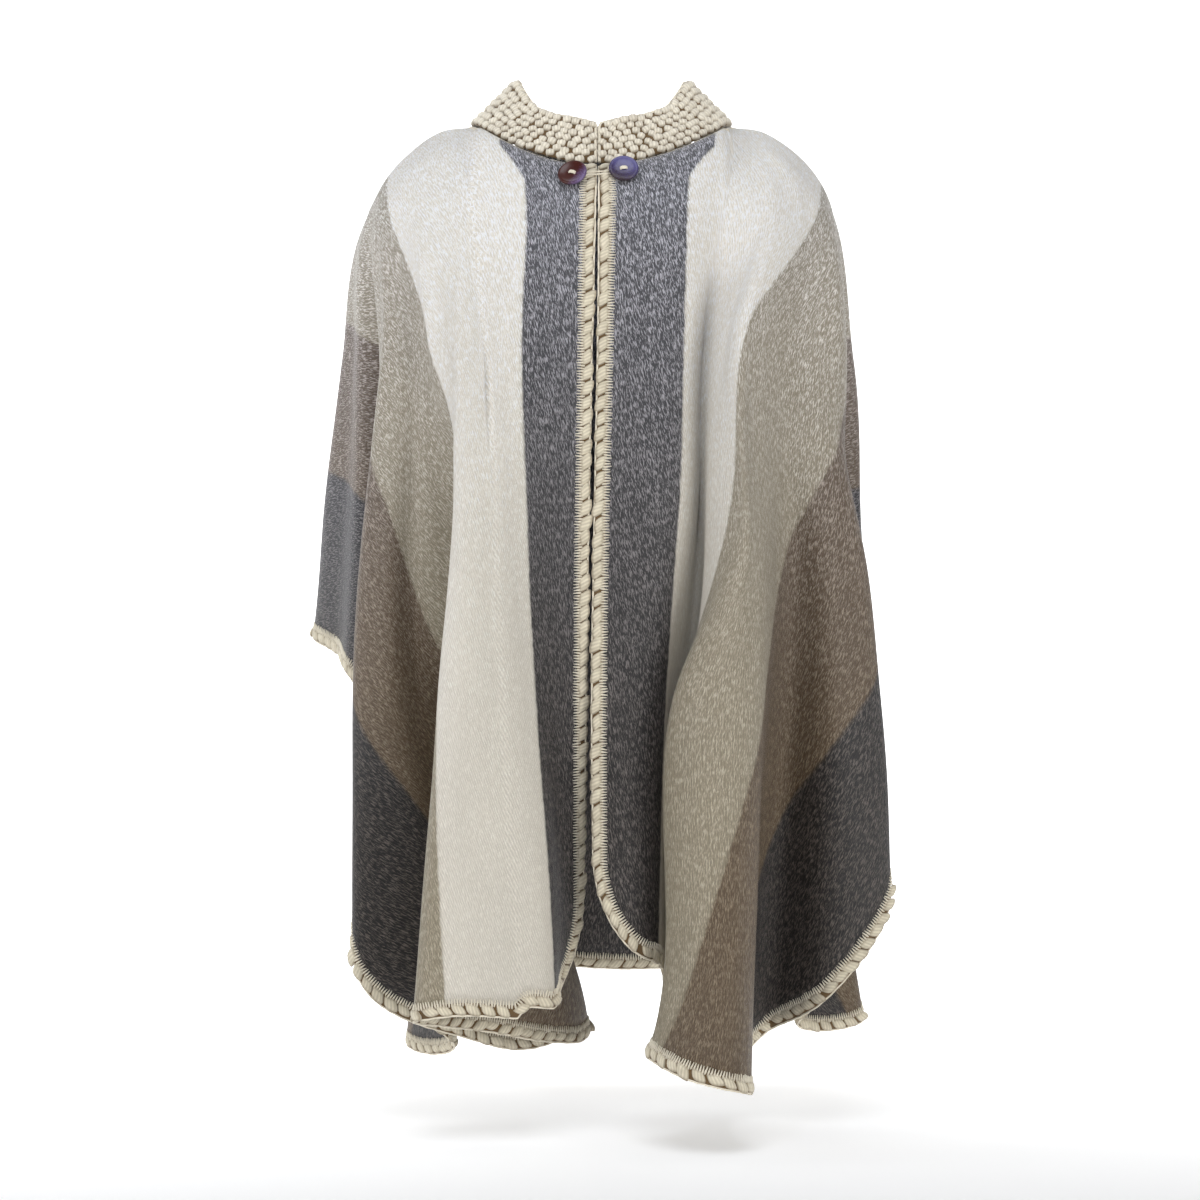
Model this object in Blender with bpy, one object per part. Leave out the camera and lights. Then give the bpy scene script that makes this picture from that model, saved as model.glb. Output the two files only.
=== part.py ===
"""Andean poncho of striped brushed cloth, worn open down the front and held at the neck.

One cut of woven cloth with a slit and a neck hole, a crocheted stand collar, a
crocheted edging round every free edge, and two buttons joined by a short yarn tie.
Metres, +Z up, the front faces -Y and +X is the wearer's left. The origin is in the
middle between the two shoulder points of the neckline, where the wearer carries it.

The cloth is described flat, as cut, and then draped. A flat point has x, out from the
slit (+ on the wearer's left), and t, the way from the shoulder line (- front, + back).
"""

from collections import namedtuple
from math import cos, pi, radians, sin

import bmesh
import bpy
import numpy as np
from mathutils import Matrix, Vector

FRONT, BACK = -1, 1
LEFT, RIGHT = 1, -1  # the wearer's left is +X

# The flat cut, to the finished edge.
HALF_WIDTH = 0.680
LENGTH = {(LEFT, FRONT): 0.920, (RIGHT, FRONT): 0.890, (LEFT, BACK): 0.935, (RIGHT, BACK): 0.955}
OUTER_CORNER = {LEFT: 0.280, RIGHT: 0.220}
BACK_CORNER = 0.280
SLIT_CORNER = 0.110
SLIT_CORNER_END = radians(75)
HEM_LIFT = {(LEFT, FRONT): 0.073, (RIGHT, FRONT): -0.010, (LEFT, BACK): 0.025, (RIGHT, BACK): 0.045}
HEM_LIFT_SPAN = 0.330
HALF_SLIT = 0.0006
NECK_HALF = 0.125
NECK_FRONT = 0.095
NECK_BACK = 0.060

# The neckline as worn: its half widths, and how far it runs forward, back and down.
NECK_WORN = {LEFT: 0.127, RIGHT: 0.119}
NECK_FORWARD = 0.085
NECK_REARWARD = 0.060
NECK_DROP_FRONT = 0.048
NECK_DROP_BACK = 0.020
NECK_EASE = 0.100

# Thicknesses, widths and seam gap.
CLOTH = 0.0020
EDGING = 0.0026
EDGING_WIDTH = 0.0150
COLLAR = 0.0050
SEAM_GAP = 0.0026

# Folds. Every crease fans out from a shoulder point, or runs down beside the slit and the
# centre back. A row is one crest, valley or flank. `place` is metres from the centre line on
# a front or back strip, and degrees round the shoulder point on the fan (0 front, 180 back).
# The other columns are where it hangs in plan, x and y in millimetres, at five reaches.
REACHES = {"yoke": 0.13, "upper": 0.28, "mid": 0.50, "low": 0.62, "hem": 0.85}
SHOULDER_REACH = 0.035
SHOULDER_SPREAD = 0.985
SHOULDER_FORWARD = 0.88
SLIT_FORWARD = 0.50
FOLD_ROUNDING = 0.85
Fold = namedtuple("Fold", "side strip place yoke upper mid low hem")
FOLDS = [
    Fold(*row)
    for row in (
        (LEFT, "front", 0.000, (0, -130), (-1, -143), (-5, -152), (-6, -155), (-4, -158)),
        (LEFT, "front", 0.045, (45, -127), (40, -146), (35, -158), (33, -163), (30, -170)),
        (LEFT, "front", 0.088, (84, -120), (80, -142), (72, -148), (64, -150), (54, -152)),
        (LEFT, "fan", 0, (121, -103), (97, -112), (84, -118), (70, -118), (65, -124)),
        (LEFT, "fan", 2.5, (127, -103), (101, -115), (89, -98), (78, -93), (77, -90)),
        (LEFT, "fan", 5, (133, -102), (106, -125), (97, -108), (87, -85), (91, -74)),
        (LEFT, "fan", 8, (140, -101), (110, -138), (98, -137), (84, -118), (88, -105)),
        (LEFT, "fan", 12, (149, -99), (116, -153), (107, -168), (71, -168), (69, -165)),
        (LEFT, "fan", 14.5, (155, -98), (120, -162), (118, -185), (73, -192), (62, -190)),
        (LEFT, "fan", 17, (160, -97), (125, -166), (130, -196), (94, -216), (84, -222)),
        (LEFT, "fan", 20, (166, -95), (132, -168), (141, -188), (124, -217), (120, -228)),
        (LEFT, "fan", 22.5, (170, -93), (138, -167), (149, -175), (144, -200), (139, -208)),
        (LEFT, "fan", 26, (176, -90), (149, -160), (157, -153), (153, -153), (137, -158)),
        (LEFT, "fan", 30, (182, -87), (159, -148), (166, -127), (160, -117), (140, -100)),
        (LEFT, "fan", 34, (188, -84), (169, -133), (182, -108), (180, -94), (165, -68)),
        (LEFT, "fan", 38, (193, -80), (182, -119), (212, -116), (216, -113), (212, -105)),
        (LEFT, "fan", 43, (199, -75), (202, -111), (250, -92), (263, -87), (274, -82)),
        (LEFT, "fan", 50, (206, -66), (227, -100), (228, -66), (231, -58), (240, -52)),
        (LEFT, "fan", 60, (214, -51), (228, -65), (178, -38), (163, -30), (148, -22)),
        (LEFT, "fan", 70, (219, -33), (203, -35), (238, -4), (259, 4), (300, 8)),
        (LEFT, "fan", 79, (221, -17), (222, -3), (178, 24), (163, 30), (144, 32)),
        (LEFT, "fan", 90, (222, 2), (247, 30), (262, 55), (274, 64), (300, 78)),
        (LEFT, "fan", 101, (220, 24), (212, 55), (184, 72), (183, 76), (195, 80)),
        (LEFT, "fan", 110.5, (216, 41), (223, 92), (259, 126), (277, 135), (309, 144)),
        (LEFT, "fan", 115, (213, 50), (223, 101), (249, 138), (266, 149), (301, 159)),
        (LEFT, "fan", 122, (208, 62), (194, 101), (184, 106), (186, 108), (196, 112)),
        (LEFT, "fan", 127, (204, 72), (188, 111), (180, 121), (182, 124), (193, 128)),
        (LEFT, "fan", 135, (194, 84), (193, 143), (225, 177), (245, 181), (286, 172)),
        (LEFT, "fan", 140, (186, 92), (184, 149), (213, 189), (232, 195), (271, 188)),
        (LEFT, "fan", 149, (171, 104), (145, 132), (152, 144), (163, 151), (192, 164)),
        (LEFT, "fan", 158, (155, 112), (143, 166), (182, 207), (204, 215), (248, 216)),
        (LEFT, "fan", 163, (146, 115), (132, 168), (170, 212), (192, 223), (236, 230)),
        (LEFT, "fan", 171, (134, 120), (100, 150), (112, 168), (121, 172), (142, 174)),
        (LEFT, "fan", 180, (120, 122), (85, 165), (98, 205), (109, 217), (136, 228)),
        (LEFT, "back", 0.060, (62, 127), (45, 162), (60, 183), (71, 193), (95, 210)),
        (LEFT, "back", 0.000, (0, 128), (0, 158), (15, 175), (26, 184), (50, 200)),
        (RIGHT, "back", 0.060, (-60, 127), (-42, 162), (-38, 185), (-29, 191), (-3, 195)),
        (RIGHT, "fan", 180, (-118, 122), (-80, 165), (-75, 200), (-70, 206), (-60, 205)),
        (RIGHT, "fan", 171, (-132, 120), (-95, 150), (-88, 160), (-85, 156), (-80, 140)),
        (RIGHT, "fan", 160, (-149, 114), (-140, 170), (-160, 212), (-168, 221), (-180, 225)),
        (RIGHT, "fan", 149, (-169, 104), (-145, 132), (-142, 142), (-143, 139), (-146, 125)),
        (RIGHT, "fan", 137, (-188, 88), (-190, 150), (-215, 190), (-225, 196), (-242, 190)),
        (RIGHT, "fan", 125, (-202, 68), (-185, 105), (-182, 112), (-182, 108), (-185, 94)),
        (RIGHT, "fan", 115.5, (-208, 52), (-219, 109), (-233, 138), (-241, 144), (-266, 148)),
        (RIGHT, "fan", 110.5, (-211, 40), (-220, 97), (-242, 124), (-251, 130), (-276, 134)),
        (RIGHT, "fan", 101, (-214, 24), (-210, 60), (-192, 64), (-189, 61), (-192, 48)),
        (RIGHT, "fan", 90, (-216, 2), (-246, 30), (-270, 60), (-284, 69), (-312, 80)),
        (RIGHT, "fan", 80, (-215, -14), (-233, 0), (-246, 5), (-255, 7), (-275, 10)),
        (RIGHT, "fan", 70, (-213, -30), (-223, -32), (-222, -45), (-227, -48), (-240, -50)),
        (RIGHT, "fan", 60.5, (-209, -46), (-192, -42), (-154, -24), (-142, -12), (-134, 6)),
        (RIGHT, "fan", 55.5, (-206, -53), (-191, -52), (-152, -40), (-141, -31), (-133, -12)),
        (RIGHT, "fan", 49, (-201, -63), (-203, -82), (-172, -66), (-176, -58), (-205, -52)),
        (RIGHT, "fan", 43, (-195, -72), (-200, -100), (-219, -82), (-223, -76), (-226, -72)),
        (RIGHT, "fan", 39.5, (-191, -76), (-198, -108), (-222, -98), (-226, -95), (-222, -88)),
        (RIGHT, "fan", 34, (-185, -82), (-183, -115), (-193, -118), (-188, -112), (-138, -72)),
        (RIGHT, "fan", 29, (-178, -86), (-169, -119), (-170, -110), (-160, -98), (-85, -48)),
        (RIGHT, "fan", 26, (-174, -88), (-162, -125), (-155, -115), (-138, -92), (-45, -32)),
        (RIGHT, "fan", 22, (-168, -91), (-155, -135), (-125, -118), (-101, -100), (-45, -58)),
        (RIGHT, "fan", 17.5, (-160, -95), (-150, -147), (-98, -135), (-87, -126), (-85, -105)),
        (RIGHT, "fan", 13, (-150, -98), (-141, -155), (-118, -155), (-119, -151), (-135, -140)),
        (RIGHT, "fan", 9, (-140, -100), (-130, -156), (-135, -183), (-143, -187), (-163, -183)),
        (RIGHT, "fan", 5, (-131, -102), (-118, -150), (-122, -203), (-123, -209), (-125, -196)),
        (RIGHT, "fan", 0, (-118, -103), (-104, -142), (-92, -190), (-85, -197), (-72, -190)),
        (RIGHT, "front", 0.075, (-66, -120), (-70, -148), (-62, -168), (-55, -173), (-40, -175)),
        (RIGHT, "front", 0.040, (-38, -126), (-38, -146), (-38, -152), (-37, -150), (-33, -142)),
        (RIGHT, "front", 0.000, (-1, -130), (-4, -143), (-8, -150), (-10, -143), (-13, -112)),
    )
]

# How finely the faceted cloth follows the drape.
HANG_STEPS = 28
CORNER_STEPS = 5
BACK_STRIP_STEPS = 3
CLOTH_ROWS = 12
ROW_GRADING = 1.25
NECK_FADE = 3
NECK_STEP = radians(3)
WIDE_FOLD = 6.5
WIDE_FOLD_SHARES = (0.22, 0.50, 0.78)
CLOSE_FOLD_SHARES = (0.0, 0.5)
OUTLINE_STEPS = 120

# The collar: rows round the neck from the centre front (0) to the centre back (180).
COLLAR_FOOT_LIFT = 0.0030
COLLAR_TOP_HALF = {LEFT: 0.088, RIGHT: 0.079}
COLLAR_TOP_FORWARD = 0.066
COLLAR_TOP_REARWARD = 0.080
COLLAR_HALF_SLIT = 0.0032
COLLAR_RIM = (
    (0, -0.006),
    (12, -0.001),
    (30, 0.004),
    (48, 0.013),
    (60, 0.028),
    (70, 0.040),
    (90, 0.043),
    (120, 0.034),
    (135, 0.024),
    (150, 0.019),
    (180, 0.0125),
)
COLLAR_COLUMNS = 30
COLLAR_ROWS = 3

# The buttons and their tie. A button sits over a flat point of the cloth, s and t, and
# faces along a direction. `turn` is how far its two holes are turned from level, in degrees.
BUTTON_RADIUS = 0.0138
BUTTON_THICKNESS = 0.0038
BUTTON_BEVEL = 0.0009
BUTTON_SEGMENTS = 40
BUTTON_LIFT = 0.0066
HOLE_RADIUS = 0.0013
HOLE_SPACING = 0.0056
TIE_LIFT = 0.0028
TIE_RADIUS = 0.0009
TIE_HALF_WIDTH = 0.0019
TIE_SEGMENTS = 28
TIE_SIDES = 10
Button = namedtuple("Button", "s t faces turn")
BUTTONS = {
    RIGHT: Button(0.0225, 0.1252, (-0.24, -0.82, 0.52), -25),
    LEFT: Button(0.0237, 0.1193, (0.03, -0.88, 0.47), 8),
}
TIE_ENDS = {RIGHT: (0.0160, 0.1235), LEFT: (0.0170, 0.1205)}
TIE_FACES = (0.0, -0.78, 0.62)

COLOURS = {
    "cloth": (0.62, 0.60, 0.54),
    "yarn": (0.66, 0.58, 0.42),
    "button": (0.10, 0.035, 0.025),
}


def clear_scene():
    for thing in list(bpy.data.objects):
        bpy.data.objects.remove(thing, do_unlink=True)


def material(name, colour, roughness, metallic=0.0):
    made = bpy.data.materials.new(name)
    made.use_nodes = True
    shader = made.node_tree.nodes["Principled BSDF"]
    shader.inputs["Base Color"].default_value = (*colour, 1.0)
    shader.inputs["Roughness"].default_value = roughness
    shader.inputs["Metallic"].default_value = metallic
    return made


def add_object(name, data, finish):
    thing = bpy.data.objects.new(name, data)
    bpy.context.scene.collection.objects.link(thing)
    data.materials.append(finish)
    return thing


def smooth_curve(knots, values, at):
    """A smooth curve through rows of values, read at the places given."""
    slopes = np.gradient(values, knots, axis=0)
    chords = np.linalg.norm(np.diff(values, axis=0), axis=1) / np.diff(knots)
    wanted = FOLD_ROUNDING * np.minimum(np.append(chords, chords[-1]), np.insert(chords, 0, chords[0]))
    speed = np.linalg.norm(slopes, axis=1)
    slopes *= (np.maximum(speed, wanted) / np.maximum(speed, 1e-6))[:, None]
    k = np.clip(np.searchsorted(knots, at, side="right") - 1, 0, len(knots) - 2)
    span = (knots[k + 1] - knots[k])[:, None]
    u = (at - knots[k])[:, None] / span
    rise = u * u * (3 - 2 * u)
    start = u * (1 - u) ** 2 * span
    end = u * u * (u - 1) * span
    return (1 - rise) * values[k] + rise * values[k + 1] + start * slopes[k] + end * slopes[k + 1]


def way_round(strip, place, reach):
    """How far round from the centre back a place lies on the ring at this reach."""
    if strip == "back":
        return place
    if strip == "fan":
        return NECK_HALF + reach * radians(180 - place)
    return 2 * NECK_HALF + reach * pi - place


def fold_ring(column):
    """The knots and plan points of one column of the fold table, in order round the body."""
    reach = REACHES[column]
    rows = [(f.side * way_round(f.strip, f.place, reach), getattr(f, column)) for f in FOLDS]
    rows.sort()
    knots = np.array([row[0] for row in rows])
    return knots, np.array([row[1] for row in rows], dtype=float) / 1000


def neckline_start(s, side, back):
    """The neckline: its flat way from the shoulder line, and its place when worn."""
    round_it = np.sqrt(np.clip(1 - (s / NECK_HALF) ** 2, 0, 1))
    flat = np.where(back, NECK_BACK, NECK_FRONT) * round_it
    worn = np.where(side > 0, NECK_WORN[LEFT], NECK_WORN[RIGHT])
    x = np.minimum(s, NECK_HALF) / NECK_HALF * worn * side
    y = np.where(back, NECK_REARWARD, -NECK_FORWARD) * round_it
    z = -np.where(back, NECK_DROP_BACK, NECK_DROP_FRONT) * round_it**2
    return flat, round_it, np.stack([x, y, z], axis=1)


def drape(flat_points):
    """Where flat points of the cloth hang when worn.

    Each point's crease is followed down from the neckline. Its place in plan is read from
    the fold rings, and it sinks by what is left of its length, so the cloth keeps its size.
    """
    x, t = np.asarray(flat_points, dtype=float).T
    side = np.where(x < 0, -1.0, 1.0)
    s = np.abs(x)
    back = t > 0
    on_strip = s < NECK_HALF
    flat_start, round_it, start = neckline_start(s, side, back)
    length = np.where(on_strip, np.abs(t) - flat_start, np.hypot(s - NECK_HALF, t))
    turn = np.arctan2(s - NECK_HALF, -t)
    forward = np.where(
        on_strip,
        np.where(back, 1, -1) * (SHOULDER_FORWARD + (SLIT_FORWARD - SHOULDER_FORWARD) * round_it),
        -np.cos(turn) * SHOULDER_FORWARD,
    )
    sideways = np.where(on_strip, 0, np.sin(turn) * SHOULDER_SPREAD) * side
    shoulder = start[:, :2] + SHOULDER_REACH * np.stack([sideways, forward], axis=1)
    rings = [start[:, :2], shoulder]
    for column, reach in REACHES.items():
        round_strip = np.where(back, s, 2 * NECK_HALF + reach * pi - s)
        round_fan = NECK_HALF + reach * (pi - turn)
        knots, plan = fold_ring(column)
        rings.append(smooth_curve(knots, plan, np.where(on_strip, round_strip, round_fan) * side))
    rings = np.array(rings)
    reaches = np.array([0, SHOULDER_REACH, *REACHES.values()])
    slopes = np.gradient(rings, reaches, axis=0)
    each = np.arange(len(s))

    def plan_at(way):
        """The place in plan of every point's crease, this way down from the neckline."""
        reach = way + np.where(on_strip, flat_start, 0) * (1 - np.exp(-way / NECK_EASE))
        k = np.clip(np.searchsorted(reaches, reach, side="right") - 1, 0, len(reaches) - 2)
        span = (reaches[k + 1] - reaches[k])[:, None]
        u = (reach - reaches[k])[:, None] / span
        rise = u * u * (3 - 2 * u)
        ease_out = u * (1 - u) ** 2 * span * slopes[k, each]
        ease_in = u * u * (u - 1) * span * slopes[k + 1, each]
        return (1 - rise) * rings[k, each] + rise * rings[k + 1, each] + ease_out + ease_in

    step = length / HANG_STEPS
    height = start[:, 2].copy()
    last = rings[0]
    for count in range(1, HANG_STEPS + 1):
        here = plan_at(step * count)
        level = np.hypot(*(here - last).T) / np.maximum(step, 1e-9)
        height -= step * np.sqrt(1 - np.clip(level, 0, 0.995) ** 2)
        last = here
    return np.column_stack([last, height])


def hem_depth(s, side, end):
    """How far down the hem is cut, s out from the centre line."""
    lift = HEM_LIFT[side, end] * (0.5 + 0.5 * cos(pi * min(s / HEM_LIFT_SPAN, 1)))
    return LENGTH[side, end] - lift


def slit_foot(side):
    """Where the slit's straight edge ends and its rounded corner starts."""
    corner_end = SLIT_CORNER * (1 - cos(SLIT_CORNER_END))
    return hem_depth(corner_end, side, FRONT) - SLIT_CORNER * sin(SLIT_CORNER_END)


def slit_corner(side, inset, steps):
    """The rounded corner at the foot of the slit, set in from the finished edge."""
    radius = SLIT_CORNER - inset
    turns = [SLIT_CORNER_END * k / steps for k in range(steps + 1)]
    foot = slit_foot(side)
    return [(SLIT_CORNER - radius * cos(a), -foot - radius * sin(a)) for a in turns]


def outer_edge(side, inset):
    """The cut from the slit's corner, along the front hem and the side, to the centre back."""
    points = []
    first = SLIT_CORNER * (1 - cos(SLIT_CORNER_END))
    corner = OUTER_CORNER[side]
    last = HALF_WIDTH - corner
    for k in range(1, OUTLINE_STEPS):
        s = first + (last - first) * k / OUTLINE_STEPS
        points.append((s, inset - hem_depth(s, side, FRONT)))
    for k in range(OUTLINE_STEPS + 1):
        a = pi / 2 * k / OUTLINE_STEPS
        across = (corner - inset) * sin(a)
        points.append((last + across, corner - LENGTH[side, FRONT] - (corner - inset) * cos(a)))
    last = HALF_WIDTH - BACK_CORNER
    radius = BACK_CORNER - inset
    for k in range(OUTLINE_STEPS + 1):
        a = pi / 2 * k / OUTLINE_STEPS
        points.append((last + radius * cos(a), LENGTH[side, BACK] - BACK_CORNER + radius * sin(a)))
    for k in range(1, OUTLINE_STEPS + 1):
        s = last * (1 - k / OUTLINE_STEPS)
        points.append((s, hem_depth(s, side, BACK) - inset))
    return np.array(points)


def fan_turns(side):
    """The directions of the cloth's columns round a shoulder point, in degrees.

    A close fold has a column on it and one beside it. A wide fold has a column to each
    side of its tip, so the tip is blunt and the wall's inner face does not cross itself.
    """
    folds = sorted({f.place for f in FOLDS if f.side == side and f.strip == "fan"})
    turns = []
    for here, after in zip(folds, folds[1:]):
        shares = WIDE_FOLD_SHARES if after - here > WIDE_FOLD else CLOSE_FOLD_SHARES
        turns += [here + (after - here) * share for share in shares]
    return np.array([*turns, 180.0])


def half_edge(side, inset):
    """One side's cut edge as a short run of flat points, from the slit's foot to centre back."""
    corner = slit_corner(side, inset, CORNER_STEPS)
    edge = outer_edge(side, inset)
    turns = np.degrees(np.unwrap(np.arctan2(edge[:, 0] - NECK_HALF, -edge[:, 1])))
    between = 0.5 * (corner[-1][0] + NECK_HALF)
    points = corner + [(between, inset - hem_depth(between, side, FRONT))]
    for turn in fan_turns(side):
        points.append((np.interp(turn, turns, edge[:, 0]), np.interp(turn, turns, edge[:, 1])))
    for k in range(1, BACK_STRIP_STEPS + 1):
        s = NECK_HALF * (1 - k / BACK_STRIP_STEPS)
        points.append((s, hem_depth(s, side, BACK) - inset))
    return np.array(points)


def neck_turns(side):
    """The turn round the neckline at which each column of half_edge starts, in radians."""
    corner = np.array(slit_corner(side, EDGING_WIDTH, CORNER_STEPS))[:, 0]
    between = 0.5 * (corner[-1] + NECK_HALF)
    front = np.arcsin(np.array([*corner, between]) / NECK_HALF)
    fan = fan_turns(side)
    rest = np.interp(fan, (fan[0], 90), (front[-1] + NECK_STEP, pi / 2))
    behind = fan > 90
    count = np.count_nonzero(behind) + BACK_STRIP_STEPS
    back = np.linspace(pi / 2, pi, count + 1)[1:]
    return np.concatenate([front, rest[~behind], back])


def neck_point(turn):
    depth = NECK_FRONT if turn < pi / 2 else NECK_BACK
    return NECK_HALF * sin(turn), -depth * cos(turn)


def whole_way_round(half_of):
    """Both sides' runs as one, from the wearer's right slit edge to the left one."""
    right, left = half_of(RIGHT), half_of(LEFT)
    right = right * (-1, 1)
    left = left.copy()
    right[:, 0] = np.minimum(right[:, 0], -HALF_SLIT)
    left[:, 0] = np.maximum(left[:, 0], HALF_SLIT)
    centre_back = np.array([[0.0, 0.5 * (right[-1, 1] + left[-1, 1])]])
    return np.concatenate([right[:-1], centre_back, left[-2::-1]])


def add_wall(name, points, thickness, finish):
    """A closed wall of even thickness on a grid of points, given in rows and columns."""
    rows, columns = points.shape[:2]
    bm = bmesh.new()
    bmesh.ops.create_grid(bm, x_segments=columns - 1, y_segments=rows - 1, size=1)
    bmesh.ops.triangulate(bm, faces=bm.faces[:], quad_method="FIXED")
    for vert in bm.verts:
        column = round((vert.co.x + 1) / 2 * (columns - 1))
        row = round((vert.co.y + 1) / 2 * (rows - 1))
        vert.co = points[row, column]
    mesh = bpy.data.meshes.new(name)
    bm.to_mesh(mesh)
    bm.free()
    mesh.shade_smooth()
    thing = add_object(name, mesh, finish)
    wall = thing.modifiers.new("wall", "SOLIDIFY")
    wall.thickness = thickness
    wall.offset = 0
    wall.use_even_offset = False
    return thing


def make_cloth(finish):
    """The one cut of woven cloth, draped."""
    edge = whole_way_round(lambda side: half_edge(side, EDGING_WIDTH))
    neck = whole_way_round(lambda side: np.array([neck_point(turn) for turn in neck_turns(side)]))
    neck[0, 0], neck[-1, 0] = -EDGING_WIDTH, EDGING_WIDTH
    root = np.clip(edge, (-NECK_HALF, 0), (NECK_HALF, 0))
    share = (np.linspace(0, 1, CLOTH_ROWS + 1) ** ROW_GRADING)[:, None, None]
    flat = root + (edge - root) * share + (neck - root) * (1 - share) ** NECK_FADE
    points = drape(flat.reshape(-1, 2)).reshape(*flat.shape[:2], 3)
    add_wall("striped_cloth", points, CLOTH, finish)


def slit_run(side, out):
    """The straight edge of the slit, from just under the collar to its foot."""
    top = NECK_FRONT + COLLAR
    foot = slit_foot(side)
    steps = CLOTH_ROWS
    return np.array([(out * side, -(top + (foot - top) * k / steps)) for k in range(steps)])


def make_edging(finish):
    """The crocheted edging: one band round every free edge, beyond the cloth's cut edge."""
    rails = []
    for inset, out in ((EDGING_WIDTH - SEAM_GAP, EDGING_WIDTH - SEAM_GAP), (0.0, HALF_SLIT)):
        edge = whole_way_round(lambda side, inset=inset: half_edge(side, inset))
        rail = np.concatenate([slit_run(RIGHT, out), edge, slit_run(LEFT, out)[::-1]])
        rails.append(rail)
    points = drape(np.concatenate(rails)).reshape(2, -1, 3)
    add_wall("crocheted_edging", points, EDGING, finish)


def collar_point(side, turn, up):
    """A point of the collar's middle surface: turn round the neck, up from foot to rim."""
    back = turn > pi / 2
    foot = Vector((
        NECK_WORN[side] * sin(turn),
        -(NECK_REARWARD if back else NECK_FORWARD) * cos(turn),
        COLLAR_FOOT_LIFT - (NECK_DROP_BACK if back else NECK_DROP_FRONT) * cos(turn) ** 2,
    ))
    rim = Vector((
        COLLAR_TOP_HALF[side] * sin(turn),
        -(COLLAR_TOP_REARWARD if back else COLLAR_TOP_FORWARD) * cos(turn),
        np.interp(np.degrees(turn), *np.array(COLLAR_RIM).T),
    ))
    point = foot.lerp(rim, up)
    if not back:
        point.x = max(point.x, COLLAR_HALF_SLIT)
    point.x *= side
    return point


def make_collar(finish):
    """The crocheted stand collar, open at the centre front."""
    sweep = pi * np.linspace(0, 1, COLLAR_COLUMNS + 1)
    columns = [(RIGHT, turn) for turn in sweep] + [(LEFT, turn) for turn in sweep[-2::-1]]
    heights = np.linspace(0, 1, COLLAR_ROWS + 1)
    points = np.array([[collar_point(side, turn, up) for side, turn in columns] for up in heights])
    add_wall("crocheted_collar", points[::-1], COLLAR, finish)


def seat(side, s, t, faces, lift):
    """A point over the front of the cloth, lifted off it along a direction."""
    surface = drape([(s * side, -t)])[0]
    return Vector(surface) + Vector(faces).normalized() * lift


def facing(centre, normal, level):
    """The place and turn of a thing that lies in a plane, with its own X along `level`."""
    up = Vector(normal).normalized()
    along = Vector(level)
    along = (along - up * along.dot(up)).normalized()
    axes = Matrix((along, up.cross(along), up)).transposed()
    return Matrix.Translation(centre) @ axes.to_4x4()


def make_button(side, name, finish):
    """A round two-hole button with a rounded rim."""
    button = BUTTONS[side]
    bm = bmesh.new()
    bmesh.ops.create_cone(
        bm,
        cap_ends=True,
        segments=BUTTON_SEGMENTS,
        radius1=BUTTON_RADIUS,
        radius2=BUTTON_RADIUS,
        depth=BUTTON_THICKNESS,
    )
    rims = [edge for edge in bm.edges if abs(edge.verts[0].co.z - edge.verts[1].co.z) < 1e-6]
    bmesh.ops.bevel(
        bm, geom=rims, offset=BUTTON_BEVEL, segments=3, profile=0.5, affect="EDGES", material=-1
    )
    level = (cos(radians(button.turn)), 0, sin(radians(button.turn)))
    centre = seat(side, button.s, button.t, button.faces, BUTTON_LIFT)
    place = facing(centre, button.faces, level)
    bm.transform(place)
    mesh = bpy.data.meshes.new(name)
    bm.to_mesh(mesh)
    bm.free()
    mesh.shade_smooth()
    thing = add_object(name, mesh, finish)
    for end in (-1, 1):
        cutter = make_hole_cutter(f"{name}_hole_{end}", place, end * HOLE_SPACING / 2, finish)
        cut = thing.modifiers.new(cutter.name, "BOOLEAN")
        cut.operation = "DIFFERENCE"
        cut.solver = "EXACT"
        cut.object = cutter


def make_hole_cutter(name, place, along, finish):
    """The pin that is cut out of a button for one hole."""
    bm = bmesh.new()
    bmesh.ops.create_cone(
        bm,
        cap_ends=True,
        segments=16,
        radius1=HOLE_RADIUS,
        radius2=HOLE_RADIUS,
        depth=3 * BUTTON_THICKNESS,
        matrix=place @ Matrix.Translation((along, 0, 0)),
    )
    mesh = bpy.data.meshes.new(name)
    bm.to_mesh(mesh)
    bm.free()
    cutter = add_object(name, mesh, finish)
    cutter.hide_render = True
    cutter.display_type = "WIRE"
    return cutter


def make_tie(finish):
    """The loop of yarn that joins the buttons, lying between them and the cloth."""
    right, left = (seat(side, *TIE_ENDS[side], TIE_FACES, TIE_LIFT) for side in (RIGHT, LEFT))
    middle = (right + left) / 2
    bm = bmesh.new()
    turned = Matrix.Translation((0, TIE_HALF_WIDTH, 0)) @ Matrix.Rotation(pi / 2, 4, "Y")
    ring = bmesh.ops.create_circle(bm, segments=TIE_SIDES, radius=TIE_RADIUS, matrix=turned)
    edges = list({edge for vert in ring["verts"] for edge in vert.link_edges})
    bmesh.ops.spin(
        bm,
        geom=ring["verts"] + edges,
        cent=(0, 0, 0),
        axis=(0, 0, 1),
        angle=2 * pi,
        steps=TIE_SEGMENTS,
        use_merge=True,
    )
    half = (left - right).length / 2 - TIE_HALF_WIDTH
    for vert in bm.verts:
        if abs(vert.co.x) > 1e-5:
            vert.co.x += half if vert.co.x > 0 else -half
    bm.transform(facing(middle, TIE_FACES, left - right))
    bmesh.ops.recalc_face_normals(bm, faces=bm.faces[:])
    mesh = bpy.data.meshes.new("button_tie")
    bm.to_mesh(mesh)
    bm.free()
    mesh.shade_smooth()
    add_object("button_tie", mesh, finish)


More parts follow.
